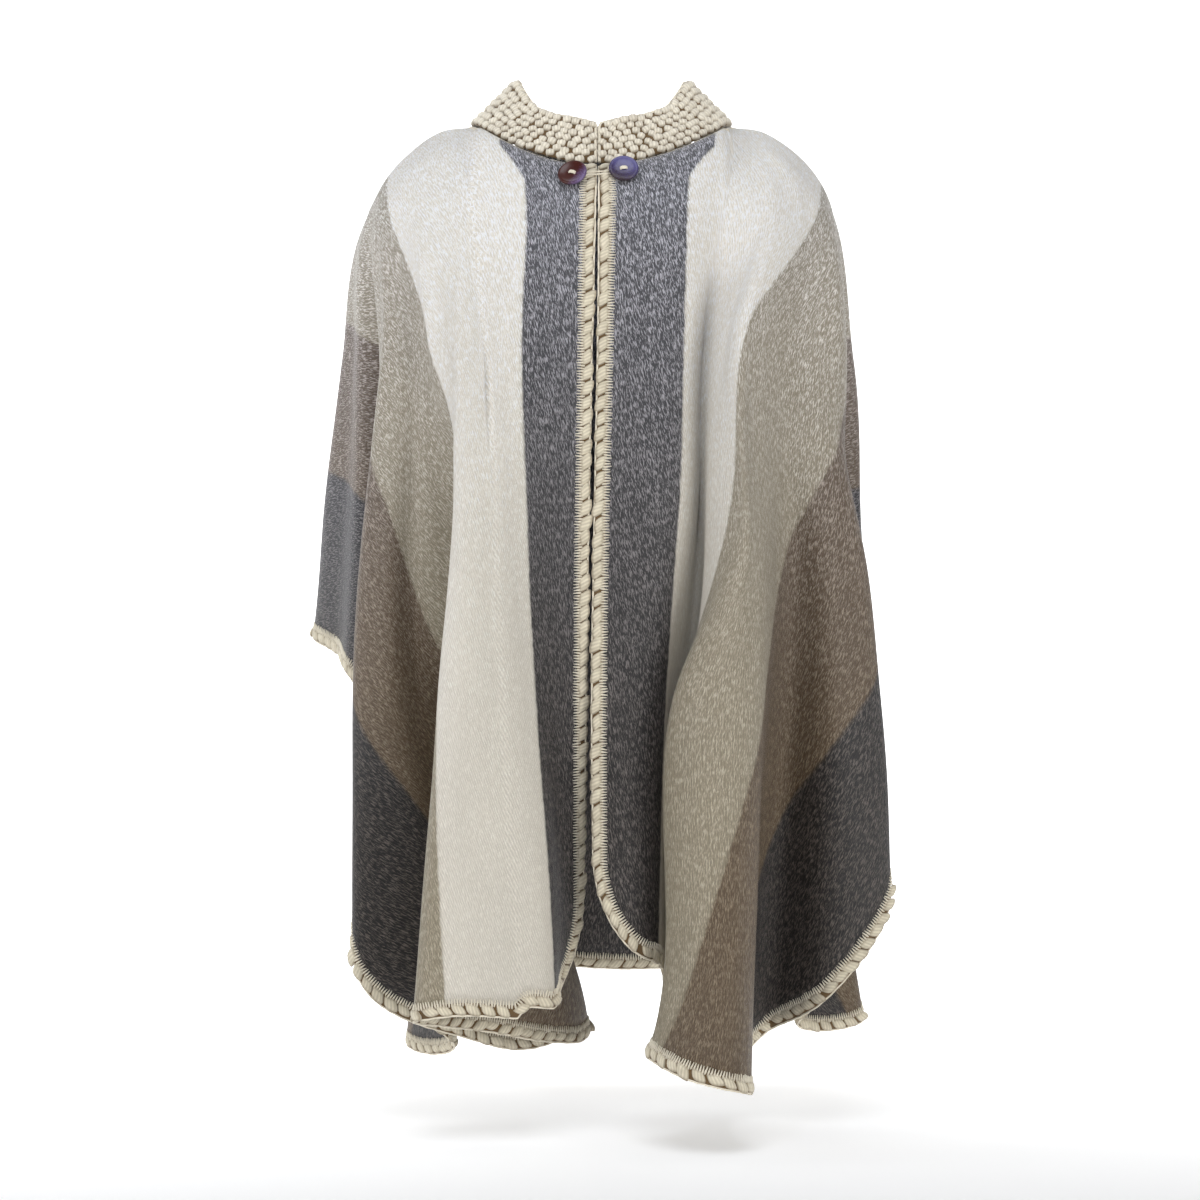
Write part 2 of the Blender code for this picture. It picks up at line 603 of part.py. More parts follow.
def main():
    clear_scene()
    cloth = material("striped_cloth", COLOURS["cloth"], 0.85)
    edging_yarn = material("edging_yarn", COLOURS["yarn"], 0.9)
    collar_yarn = material("collar_yarn", COLOURS["yarn"], 0.9)
    tie_yarn = material("tie_yarn", COLOURS["yarn"], 0.9)
    right_button = material("button_right", COLOURS["button"], 0.25)
    left_button = material("button_left", COLOURS["button"], 0.25)
    make_cloth(cloth)
    make_edging(edging_yarn)
    make_collar(collar_yarn)
    make_button(RIGHT, "button_right", right_button)
    make_button(LEFT, "button_left", left_button)
    make_tie(tie_yarn)


main()
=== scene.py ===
import random
from collections import namedtuple
from math import atan2, cos, pi, radians, sin

import bmesh
import bpy
import numpy as np
from mathutils import Matrix, Vector


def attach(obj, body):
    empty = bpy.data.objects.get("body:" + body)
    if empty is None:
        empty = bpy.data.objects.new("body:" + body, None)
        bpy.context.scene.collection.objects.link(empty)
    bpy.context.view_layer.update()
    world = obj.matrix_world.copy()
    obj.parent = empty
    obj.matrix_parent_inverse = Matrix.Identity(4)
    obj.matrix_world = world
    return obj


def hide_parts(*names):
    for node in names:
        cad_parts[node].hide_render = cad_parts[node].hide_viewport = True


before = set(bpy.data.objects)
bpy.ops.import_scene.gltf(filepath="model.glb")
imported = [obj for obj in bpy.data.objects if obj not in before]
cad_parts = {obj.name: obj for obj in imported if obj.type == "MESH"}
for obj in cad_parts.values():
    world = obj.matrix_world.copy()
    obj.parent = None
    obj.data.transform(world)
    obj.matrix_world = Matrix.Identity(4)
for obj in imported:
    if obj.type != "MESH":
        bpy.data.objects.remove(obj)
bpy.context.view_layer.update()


# The woven cloth. One width of soft wool twill, woven with lengthwise stripes and brushed to a
# nap, then cut to a rounded oblong with a slit up the front and a hole for the neck. It hangs
# from the shoulders, so every crease fans out from a shoulder point.
FRONT, BACK = -1, 1
LEFT, RIGHT = 1, -1  # the wearer's left is +X
HALF_WIDTH = 0.680
LENGTH = {(LEFT, FRONT): 0.920, (RIGHT, FRONT): 0.890, (LEFT, BACK): 0.935, (RIGHT, BACK): 0.955}
OUTER_CORNER = {LEFT: 0.280, RIGHT: 0.220}
BACK_CORNER = 0.280
SLIT_CORNER = 0.110
SLIT_CORNER_END = radians(75)
HEM_LIFT = {(LEFT, FRONT): 0.073, (RIGHT, FRONT): -0.010, (LEFT, BACK): 0.025, (RIGHT, BACK): 0.045}
HEM_LIFT_SPAN = 0.330
NECK_HALF = 0.125
NECK_FRONT = 0.095
NECK_BACK = 0.060
NECK_WORN = {LEFT: 0.127, RIGHT: 0.119}
NECK_FORWARD = 0.085
NECK_REARWARD = 0.060
NECK_DROP_FRONT = 0.048
NECK_DROP_BACK = 0.020
NECK_EASE = 0.100
CLOTH_THICKNESS = 0.0020
CLOTH_INSET = 0.0130

# Where the folds hang, in plan, at five reaches from the shoulder point. Each fold starts with its
# place: metres from the centre line on a strip, or degrees round the shoulder point on the fan
# (0 is the front). Then come its places in millimetres at the five reaches.
REACHES = (0.13, 0.28, 0.50, 0.62, 0.85)
SHOULDER_REACH = 0.035
SHOULDER_SPREAD = 0.985
SHOULDER_FORWARD = 0.88
SLIT_FORWARD = 0.50
FOLD_ROUNDING = 0.85
HANG_STEPS = 28
FLATTEST_HANG = 0.995
FOLDS = {}
FOLDS[LEFT, "front"] = (
    (0.000, (0, -130), (-1, -143), (-5, -152), (-6, -155), (-4, -158)),
    (0.045, (45, -127), (40, -146), (35, -158), (33, -163), (30, -170)),
    (0.088, (84, -120), (80, -142), (72, -148), (64, -150), (54, -152)),
)
FOLDS[LEFT, "fan"] = (
    (0, (121, -103), (97, -112), (84, -118), (70, -118), (65, -124)),
    (2.5, (127, -103), (101, -115), (89, -98), (78, -93), (77, -90)),
    (5, (133, -102), (106, -125), (97, -108), (87, -85), (91, -74)),
    (8, (140, -101), (110, -138), (98, -137), (84, -118), (88, -105)),
    (12, (149, -99), (116, -153), (107, -168), (71, -168), (69, -165)),
    (14.5, (155, -98), (120, -162), (118, -185), (73, -192), (62, -190)),
    (17, (160, -97), (125, -166), (130, -196), (94, -216), (84, -222)),
    (20, (166, -95), (132, -168), (141, -188), (124, -217), (120, -228)),
    (22.5, (170, -93), (138, -167), (149, -175), (144, -200), (139, -208)),
    (26, (176, -90), (149, -160), (157, -153), (153, -153), (137, -158)),
    (30, (182, -87), (159, -148), (166, -127), (160, -117), (140, -100)),
    (34, (188, -84), (169, -133), (182, -108), (180, -94), (165, -68)),
    (38, (193, -80), (182, -119), (212, -116), (216, -113), (212, -105)),
    (43, (199, -75), (202, -111), (250, -92), (263, -87), (274, -82)),
    (50, (206, -66), (227, -100), (228, -66), (231, -58), (240, -52)),
    (60, (214, -51), (228, -65), (178, -38), (163, -30), (148, -22)),
    (70, (219, -33), (203, -35), (238, -4), (259, 4), (300, 8)),
    (79, (221, -17), (222, -3), (178, 24), (163, 30), (144, 32)),
    (90, (222, 2), (247, 30), (262, 55), (274, 64), (300, 78)),
    (101, (220, 24), (212, 55), (184, 72), (183, 76), (195, 80)),
    (110.5, (216, 41), (223, 92), (259, 126), (277, 135), (309, 144)),
    (115, (213, 50), (223, 101), (249, 138), (266, 149), (301, 159)),
    (122, (208, 62), (194, 101), (184, 106), (186, 108), (196, 112)),
    (127, (204, 72), (188, 111), (180, 121), (182, 124), (193, 128)),
    (135, (194, 84), (193, 143), (225, 177), (245, 181), (286, 172)),
    (140, (186, 92), (184, 149), (213, 189), (232, 195), (271, 188)),
    (149, (171, 104), (145, 132), (152, 144), (163, 151), (192, 164)),
    (158, (155, 112), (143, 166), (182, 207), (204, 215), (248, 216)),
    (163, (146, 115), (132, 168), (170, 212), (192, 223), (236, 230)),
    (171, (134, 120), (100, 150), (112, 168), (121, 172), (142, 174)),
    (180, (120, 122), (85, 165), (98, 205), (109, 217), (136, 228)),
)
FOLDS[LEFT, "back"] = (
    (0.060, (62, 127), (45, 162), (60, 183), (71, 193), (95, 210)),
    (0.000, (0, 128), (0, 158), (15, 175), (26, 184), (50, 200)),
)
FOLDS[RIGHT, "back"] = (
    (0.060, (-60, 127), (-42, 162), (-38, 185), (-29, 191), (-3, 195)),
)
FOLDS[RIGHT, "fan"] = (
    (180, (-118, 122), (-80, 165), (-75, 200), (-70, 206), (-60, 205)),
    (171, (-132, 120), (-95, 150), (-88, 160), (-85, 156), (-80, 140)),
    (160, (-149, 114), (-140, 170), (-160, 212), (-168, 221), (-180, 225)),
    (149, (-169, 104), (-145, 132), (-142, 142), (-143, 139), (-146, 125)),
    (137, (-188, 88), (-190, 150), (-215, 190), (-225, 196), (-242, 190)),
    (125, (-202, 68), (-185, 105), (-182, 112), (-182, 108), (-185, 94)),
    (115.5, (-208, 52), (-219, 109), (-233, 138), (-241, 144), (-266, 148)),
    (110.5, (-211, 40), (-220, 97), (-242, 124), (-251, 130), (-276, 134)),
    (101, (-214, 24), (-210, 60), (-192, 64), (-189, 61), (-192, 48)),
    (90, (-216, 2), (-246, 30), (-270, 60), (-284, 69), (-312, 80)),
    (80, (-215, -14), (-233, 0), (-246, 5), (-255, 7), (-275, 10)),
    (70, (-213, -30), (-223, -32), (-222, -45), (-227, -48), (-240, -50)),
    (60.5, (-209, -46), (-192, -42), (-154, -24), (-142, -12), (-134, 6)),
    (55.5, (-206, -53), (-191, -52), (-152, -40), (-141, -31), (-133, -12)),
    (49, (-201, -63), (-203, -82), (-172, -66), (-176, -58), (-205, -52)),
    (43, (-195, -72), (-200, -100), (-219, -82), (-223, -76), (-226, -72)),
    (39.5, (-191, -76), (-198, -108), (-222, -98), (-226, -95), (-222, -88)),
    (34, (-185, -82), (-183, -115), (-193, -118), (-188, -112), (-138, -72)),
    (29, (-178, -86), (-169, -119), (-170, -110), (-160, -98), (-85, -48)),
    (26, (-174, -88), (-162, -125), (-155, -115), (-138, -92), (-45, -32)),
    (22, (-168, -91), (-155, -135), (-125, -118), (-101, -100), (-45, -58)),
    (17.5, (-160, -95), (-150, -147), (-98, -135), (-87, -126), (-85, -105)),
    (13, (-150, -98), (-141, -155), (-118, -155), (-119, -151), (-135, -140)),
    (9, (-140, -100), (-130, -156), (-135, -183), (-143, -187), (-163, -183)),
    (5, (-131, -102), (-118, -150), (-122, -203), (-123, -209), (-125, -196)),
    (0, (-118, -103), (-104, -142), (-92, -190), (-85, -197), (-72, -190)),
)
FOLDS[RIGHT, "front"] = (
    (0.075, (-66, -120), (-70, -148), (-62, -168), (-55, -173), (-40, -175)),
    (0.040, (-38, -126), (-38, -146), (-38, -152), (-37, -150), (-33, -142)),
    (0.000, (-1, -130), (-4, -143), (-8, -150), (-10, -143), (-13, -112)),
)


def between_knots(knots, at):
    """The knot each place comes after, its share of the gap to the next, and that gap."""
    k = np.clip(np.searchsorted(knots, at, side="right") - 1, 0, len(knots) - 2)
    span = (knots[k + 1] - knots[k])[:, None]
    return k, (at - knots[k])[:, None] / span, span


def eased(near, far, near_slope, far_slope, u, span):
    """From one value to the next, u from 0 to 1, with the slope asked for at each."""
    rise = u * u * (3 - 2 * u)
    start = u * (1 - u) ** 2 * span
    end = u * u * (u - 1) * span
    return (1 - rise) * near + rise * far + start * near_slope + end * far_slope


def smooth_curve(knots, values, at):
    """A smooth curve through rows of values, read at the places given."""
    slopes = np.gradient(values, knots, axis=0)
    chords = np.linalg.norm(np.diff(values, axis=0), axis=1) / np.diff(knots)
    wanted = FOLD_ROUNDING * np.minimum(np.append(chords, chords[-1]), np.insert(chords, 0, chords[0]))
    speed = np.linalg.norm(slopes, axis=1)
    slopes *= (np.maximum(speed, wanted) / np.maximum(speed, 1e-6))[:, None]
    k, u, span = between_knots(knots, at)
    return eased(values[k], values[k + 1], slopes[k], slopes[k + 1], u, span)


def way_round(strip, place, reach):
    """How far round from the centre back a place lies on the ring at this reach."""
    if strip == "back":
        return place
    if strip == "fan":
        return NECK_HALF + reach * radians(180 - place)
    return 2 * NECK_HALF + reach * pi - place


def fold_ring(column):
    """The knots and plan points of one column of the fold table, in order round the body."""
    rows = sorted(
        (side * way_round(strip, place, REACHES[column]), points[column])
        for (side, strip), folds in FOLDS.items()
        for place, *points in folds
    )
    knots, plan = zip(*rows)
    return np.array(knots), np.array(plan, dtype=float) / 1000


def neckline_start(s, side, back):
    """The neckline: its flat way from the shoulder line, and its place when worn."""
    round_it = np.sqrt(np.clip(1 - (s / NECK_HALF) ** 2, 0, 1))
    flat = np.where(back, NECK_BACK, NECK_FRONT) * round_it
    worn = np.where(side > 0, NECK_WORN[LEFT], NECK_WORN[RIGHT])
    x = np.minimum(s, NECK_HALF) / NECK_HALF * worn * side
    y = np.where(back, NECK_REARWARD, -NECK_FORWARD) * round_it
    z = -np.where(back, NECK_DROP_BACK, NECK_DROP_FRONT) * round_it**2
    return flat, round_it, np.stack([x, y, z], axis=1)


def drape(flat_points):
    """Where flat points of the cloth hang when worn.

    Each point's crease is followed down from the neckline. Its place in plan is read from
    the fold rings, and it sinks by what is left of its length, so the cloth keeps its size.
    """
    x, t = np.asarray(flat_points, dtype=float).T
    side = np.where(x < 0, -1.0, 1.0)
    s = np.abs(x)
    back = t > 0
    on_strip = s < NECK_HALF
    flat_start, round_it, start = neckline_start(s, side, back)
    length = np.where(on_strip, np.abs(t) - flat_start, np.hypot(s - NECK_HALF, t))
    turn = np.arctan2(s - NECK_HALF, -t)
    forward = np.where(
        on_strip,
        np.where(back, 1, -1) * (SHOULDER_FORWARD + (SLIT_FORWARD - SHOULDER_FORWARD) * round_it),
        -np.cos(turn) * SHOULDER_FORWARD,
    )
    sideways = np.where(on_strip, 0, np.sin(turn) * SHOULDER_SPREAD) * side
    shoulder = start[:, :2] + SHOULDER_REACH * np.stack([sideways, forward], axis=1)
    rings = [start[:, :2], shoulder]
    for column, reach in enumerate(REACHES):
        round_strip = np.where(back, s, 2 * NECK_HALF + reach * pi - s)
        round_fan = NECK_HALF + reach * (pi - turn)
        knots, plan = fold_ring(column)
        rings.append(smooth_curve(knots, plan, np.where(on_strip, round_strip, round_fan) * side))
    rings = np.array(rings)
    reaches = np.array([0, SHOULDER_REACH, *REACHES])
    slopes = np.gradient(rings, reaches, axis=0)
    each = np.arange(len(s))

    def plan_at(way):
        """The place in plan of every point's crease, this way down from the neckline."""
        reach = way + np.where(on_strip, flat_start, 0) * (1 - np.exp(-way / NECK_EASE))
        k, u, span = between_knots(reaches, reach)
        near, far = rings[k, each], rings[k + 1, each]
        return eased(near, far, slopes[k, each], slopes[k + 1, each], u, span)

    step = length / HANG_STEPS
    height = start[:, 2].copy()
    last = rings[0]
    for count in range(1, HANG_STEPS + 1):
        here = plan_at(step * count)
        level = np.hypot(*(here - last).T) / np.maximum(step, 1e-9)
        height -= step * np.sqrt(1 - np.clip(level, 0, FLATTEST_HANG) ** 2)
        last = here
    return np.column_stack([last, height])


def hem_depth(s, side, end):
    """How far down the hem is cut, s out from the centre line."""
    lift = HEM_LIFT[side, end] * (0.5 + 0.5 * np.cos(pi * np.minimum(s / HEM_LIFT_SPAN, 1)))
    return LENGTH[side, end] - lift


SLIT_CORNER_STEPS = 40
CORNER_STEPS = 90
SIDE_STEPS = 260


def cut_edge(side, inset):
    """The cut from the slit's foot round the hem and side to the centre back, as flat points."""
    foot_out = SLIT_CORNER * (1 - cos(SLIT_CORNER_END))
    foot = hem_depth(foot_out, side, FRONT) - SLIT_CORNER * sin(SLIT_CORNER_END)
    a = np.linspace(0, SLIT_CORNER_END, SLIT_CORNER_STEPS)
    radius = SLIT_CORNER - inset
    runs = [(SLIT_CORNER - radius * np.cos(a), -foot - radius * np.sin(a))]
    a = np.linspace(0, pi / 2, CORNER_STEPS)
    corner = OUTER_CORNER[side]
    s = np.linspace(foot_out, HALF_WIDTH - corner, CORNER_STEPS)[1:-1]
    runs.append((s, inset - hem_depth(s, side, FRONT)))
    front_end, back_start = corner - LENGTH[side, FRONT], LENGTH[side, BACK] - BACK_CORNER
    radius = corner - inset
    runs.append((HALF_WIDTH - corner + radius * np.sin(a), front_end - radius * np.cos(a)))
    side_run = np.linspace(front_end, back_start, SIDE_STEPS)[1:-1]
    runs.append((np.full(len(side_run), HALF_WIDTH - inset), side_run))
    radius = BACK_CORNER - inset
    runs.append((HALF_WIDTH - BACK_CORNER + radius * np.cos(a), back_start + radius * np.sin(a)))
    s = np.linspace(HALF_WIDTH - BACK_CORNER, 0, CORNER_STEPS)[1:]
    runs.append((s, hem_depth(s, side, BACK) - inset))
    return foot, np.concatenate([np.column_stack(run) for run in runs])


def length_along(points):
    """How far along the run each of its points lies."""
    return np.insert(np.cumsum(np.linalg.norm(np.diff(points, axis=0), axis=1)), 0, 0)


def read_along(values, length, at):
    """Rows of values known at the lengths given, read at other lengths."""
    return np.column_stack([np.interp(at, length, column) for column in values.T])


def evenly(points, step):
    """The same run of points, spaced evenly by length."""
    length = length_along(points)
    count = max(2, round(length[-1] / step) + 1)
    return read_along(points, length, np.linspace(0, length[-1], count))


def neckline(a, out=0.0):
    """The flat neckline at each turn round from the slit, or a line a little way out from it."""
    depth = np.where(a < pi / 2, NECK_FRONT, NECK_BACK)
    return np.column_stack([(NECK_HALF + out) * np.sin(a), -(depth + out) * np.cos(a)])


# Five places on the cut edge, counted round from the slit (1 and 2 are the corners of the strips,
# 1.5 the shoulder), and the turns on the neckline at which their thread lines start.
NECK_PLACES = (0, 1, 1.5, 2, 3)
NECK_TURNS = (0, 1.0, pi / 2, 2.3, pi)


def neck_start(edge):
    """Where on the neckline the thread line to each cut-edge point starts."""
    s, t = edge.T
    turn = np.degrees(np.arctan2(s - NECK_HALF, -t)) / 180 + 1
    round_it = np.where(s < NECK_HALF, np.where(t < 0, s / NECK_HALF, 3 - s / NECK_HALF), turn)
    return neckline(np.interp(round_it, NECK_PLACES, NECK_TURNS))


# Small creases pressed into the cloth by wear, each along a line in the cut, in millimetres: its
# two ends, how wide it is, and how far it stands out (a trough is negative).
CREASES = (
    (-150, -160, -215, -400, 16, -3.5),
    (-185, -170, -262, -370, 14, 3),
    (-120, -200, -150, -520, 22, 3.5),
    (-60, -140, -70, -360, 20, -2),
    (-200, -360, -245, -620, 18, -3),
    (-95, -420, -105, -800, 26, -2.5),
    (150, -150, 190, -360, 18, -3.5),
    (185, -160, 250, -400, 15, 3),
    (105, -200, 118, -500, 24, 3),
    (50, -160, 58, -420, 18, -2),
    (78, -400, 92, -760, 24, -2.5),
    (225, -420, 300, -720, 20, 3),
    (60, 160, 85, 550, 30, 3.5),
    (-80, 140, -110, 500, 28, -3),
    (10, 200, 0, 700, 34, -3.5),
    (-180, 200, -260, 520, 22, 3),
    (190, 180, 280, 500, 22, -3),
    (240, -20, 420, -60, 22, -3),
    (-240, 20, -430, 50, 22, 3),
)
CREASE_BOW = 0.05
CREASE_FADE_IN = 0.35
CREASE_FADE_OUT = 0.45
PUCKER = 0.0008
SURFACE_STEP = 0.003


def creasing(flat):
    """How far the small creases lift each flat point off the hang of the cloth."""
    lift = np.zeros(len(flat))
    for crease in np.array(CREASES) / 1000:
        start, run, (width, rise) = crease[:2], crease[2:4] - crease[:2], crease[4:]
        length = np.linalg.norm(run)
        along = (flat - start) @ run / length**2
        bow = CREASE_BOW * length * np.sin(pi * np.clip(along, 0, 1))
        away = ((flat - start) @ np.array([-run[1], run[0]])) / length - bow
        fade = np.clip(along / CREASE_FADE_IN, 0, 1) * np.clip((1 - along) / CREASE_FADE_OUT, 0, 1)
        lift += rise * np.exp(-((away / width) ** 2)) * fade**2 * (3 - 2 * fade)
    x, t = flat.T
    broad = np.sin(17 * x + 5 * t + 1.3) * np.sin(23 * t - 9 * x)
    close = np.sin(31 * x - 4 * t) * np.sin(11 * t + 2)
    return lift + PUCKER * (broad + close)


def hang(flat):
    """Where flat points hang, with every small crease in."""
    flat = np.asarray(flat, dtype=float)
    side = np.where(flat[:, 0] < 0, -1.0, 1.0)
    end = np.where(flat[:, 1] > 0, 1.0, -1.0)
    none = np.zeros(len(flat))
    middle = drape(flat)
    across = (drape(flat + np.column_stack([SURFACE_STEP * side, none])) - middle) * side[:, None]
    along = (drape(flat + np.column_stack([none, SURFACE_STEP * end])) - middle) * end[:, None]
    normal = np.cross(across, along)
    normal /= np.linalg.norm(normal, axis=1)[:, None]
    return middle + normal * creasing(flat)[:, None]


def hang_grid(flat):
    return hang(flat.reshape(-1, 2)).reshape(*flat.shape[:2], 3)


CLOTH_COLUMN = 0.0125
CLOTH_ROWS = 74


def whole_way_round(half_of):
    """Both sides' runs as one, from the wearer's right slit edge to the left one."""
    return np.concatenate([half_of(RIGHT) * (-1, 1), half_of(LEFT)[-2::-1]])


def made_mesh(name, bm, closed=False):
    """The finished bmesh as a smooth mesh; a closed shape first has its faces turned outward."""
    if closed:
        bmesh.ops.recalc_face_normals(bm, faces=bm.faces[:])
    mesh = bpy.data.meshes.new(name)
    bm.to_mesh(mesh)
    bm.free()
    mesh.shade_smooth()
    return mesh


def grid_mesh(name, points, flat):
    """A smooth sheet through a grid of points, with its cut kept as a UV map in metres."""
    rows, columns = points.shape[:2]
    bm = bmesh.new()
    bmesh.ops.create_grid(bm, x_segments=columns - 1, y_segments=rows - 1, size=1)
    cut = bm.loops.layers.uv.new("cut")
    where = {}
    for vert in bm.verts:
        column = round((vert.co.x + 1) / 2 * (columns - 1))
        row = round((vert.co.y + 1) / 2 * (rows - 1))
        where[vert] = flat[row, column]
        vert.co = points[row, column]
    for face in bm.faces:
        for loop in face.loops:
            loop[cut].uv = where[loop.vert]
    return made_mesh(name, bm)


def put_in_scene(name, data):
    thing = bpy.data.objects.new(name, data)
    bpy.context.scene.collection.objects.link(thing)
    return thing


def add_piece(name, mesh, material, slot_name, *nodes):
    """Puts a finished mesh in the scene as a piece of the poncho."""
    piece = put_in_scene(name, mesh)
    mesh.materials.clear()
    mesh.materials.append(material)
    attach(piece, "root")
    if nodes:
        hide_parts(*nodes)
    return piece


def thicken(piece, thickness):
    """Gives a sheet its thickness, half of it to each side."""
    wall = piece.modifiers.new("thickness", "SOLIDIFY")
    wall.thickness = thickness
    wall.offset = 0


def new_material(name):
    material = bpy.data.materials.new(name)
    material.use_nodes = True
    return material, material.node_tree


def add_node(tree, kind, inputs=None, **settings):
    """A shader node with its settings and inputs; an input is a value or another node's socket."""
    node = tree.nodes.new("ShaderNode" + kind)
    for name, value in settings.items():
        setattr(node, name, value)
    for key, value in (inputs or {}).items():
        if isinstance(value, bpy.types.NodeSocket):
            tree.links.new(value, node.inputs[key])
        else:
            node.inputs[key].default_value = value
    return node


def maths(tree, operation, a, b=0.0, c=0.0):
    return add_node(tree, "Math", {0: a, 1: b, 2: c}, operation=operation).outputs[0]


def clamped(tree, value, most=1.0):
    return add_node(tree, "Clamp", {0: value, 2: most}).outputs[0]


def vector_maths(tree, operation, a, b):
    """Vector a worked on by b; b is a number when a is scaled by it."""
    second = 3 if operation == "SCALE" else 1
    node = add_node(tree, "VectorMath", {0: a, second: b}, operation=operation)
    return node.outputs["Value" if operation == "DOT_PRODUCT" else "Vector"]


def object_place(tree):
    return add_node(tree, "TexCoord").outputs["Object"]


def finish(material, base, relief, settings):
    """Joins a material's colour and relief to its shader and sets what is the same all over."""
    tree = material.node_tree
    shader = tree.nodes["Principled BSDF"]
    tree.links.new(base, shader.inputs["Base Color"])
    tree.links.new(relief, shader.inputs["Normal"])
    for name, value in settings.items():
        shader.inputs[name].default_value = value
    return material


def noise_on(tree, vector, scale, detail=2.0, roughness=0.5):
    """A noise stretched along the axes by its three scales."""
    stretched = add_node(tree, "Mapping", {"Vector": vector, "Scale": scale})
    inputs = {"Vector": stretched.outputs[0], "Scale": 1.0, "Detail": detail, "Roughness": roughness}
    return add_node(tree, "TexNoise", inputs).outputs["Fac"]


def blend_colour(tree, share, one, other):
    return add_node(tree, "Mix", {0: share, 6: one, 7: other}, data_type="RGBA").outputs[2]


def bump(tree, height, strength, distance, under=None):
    inputs = {"Height": height, "Strength": strength, "Distance": distance}
    if under:
        inputs["Normal"] = under
    return add_node(tree, "Bump", inputs).outputs[0]


def colour(red, green, blue):
    """A colour on the usual 0 to 255 scale, as the shader wants it."""
    linear = [((v / 255 + 0.055) / 1.055) ** 2.4 for v in (red, green, blue)]
    return (*linear, 1.0)


STRIPE_SHIFT = 0.0065
STRIPE_EDGES = (0.0815, 0.222, 0.375, 0.522)
STRIPE_BLEED = 0.0007
STRIPE_COLOURS = ((26, 22, 19), (200, 194, 183), (130, 121, 102), (82, 66, 47), (26, 22, 18))
STRIPE_FLECKS = ((102, 95, 91), (216, 211, 200), (172, 163, 144), (132, 117, 96), (94, 86, 80))
STRIPE_WANDER = 0.004
RAMP_SPAN = 0.7
# The palest the cloth may be once its painted sheen is added.
PALEST = (0.72, 0.73, 0.76)

# Under the collar the middle stripe is drawn wider by the seam.
FLARE_START = 0.132
FLARE_REACH = 0.042
FLARE_WIDTH = 0.022
FLARE_END = 0.140
FLARE_EASE = 1.1

# The weave slants one way and the brushed hairs nearly lie along the stripes. Each scale is how
# many a metre across and along.
TWILL_PITCH = 0.0027
TWILL_LEAN = radians(-21.8)
TWILL_TONE, TWILL_DARK = 0.20, 0.88
HAIR_LEAN = radians(-9)
HAIR_SCALE = (1060, 150, 1)
STRAY_SCALE = (980, 125, 1)
TUFT_SCALE = (120, 26, 1)
CLOUD_SCALE = (9, 5, 1)
HAIR_LEVEL, HAIR_CONTRAST, HAIR_SHARE = 0.56, 11.0, 0.24
TUFT_CONTRAST = 1.2
CLOUD_TONE, CLOUD_DARK = 0.22, 0.89

# Painted sheen: the nap is painted paler and bluer the higher it hangs, most of all at the tips of its
# hairs, for the light from above catching it.
PAINTED_SHEEN_COLOUR = (0.35, 0.365, 0.43)
PAINTED_SHEEN_FOOT = 0.70
PAINTED_SHEEN_RISE = 0.62
PAINTED_SHEEN_EASE = 2.1
PAINTED_SHEEN_ON_HAIR, PAINTED_SHEEN_ALL_OVER = 0.85, 0.15


def stripes(tree, place, colours):
    """The lengthwise stripes, by how far a thread lies from the middle of the weave."""
    colours = [colour(*shade) for shade in colours]
    ramp = add_node(tree, "ValToRGB", {"Fac": maths(tree, "DIVIDE", place, RAMP_SPAN)})
    stops = ramp.color_ramp.elements
    stops[0].position, stops[0].color = 0.0, colours[0]
    stops[1].position, stops[1].color = 1.0, colours[-1]
    for edge, before, after in zip(STRIPE_EDGES, colours, colours[1:]):
        stops.new((edge - STRIPE_BLEED) / RAMP_SPAN).color = before
        stops.new((edge + STRIPE_BLEED) / RAMP_SPAN).color = after
    return ramp.outputs["Color"]


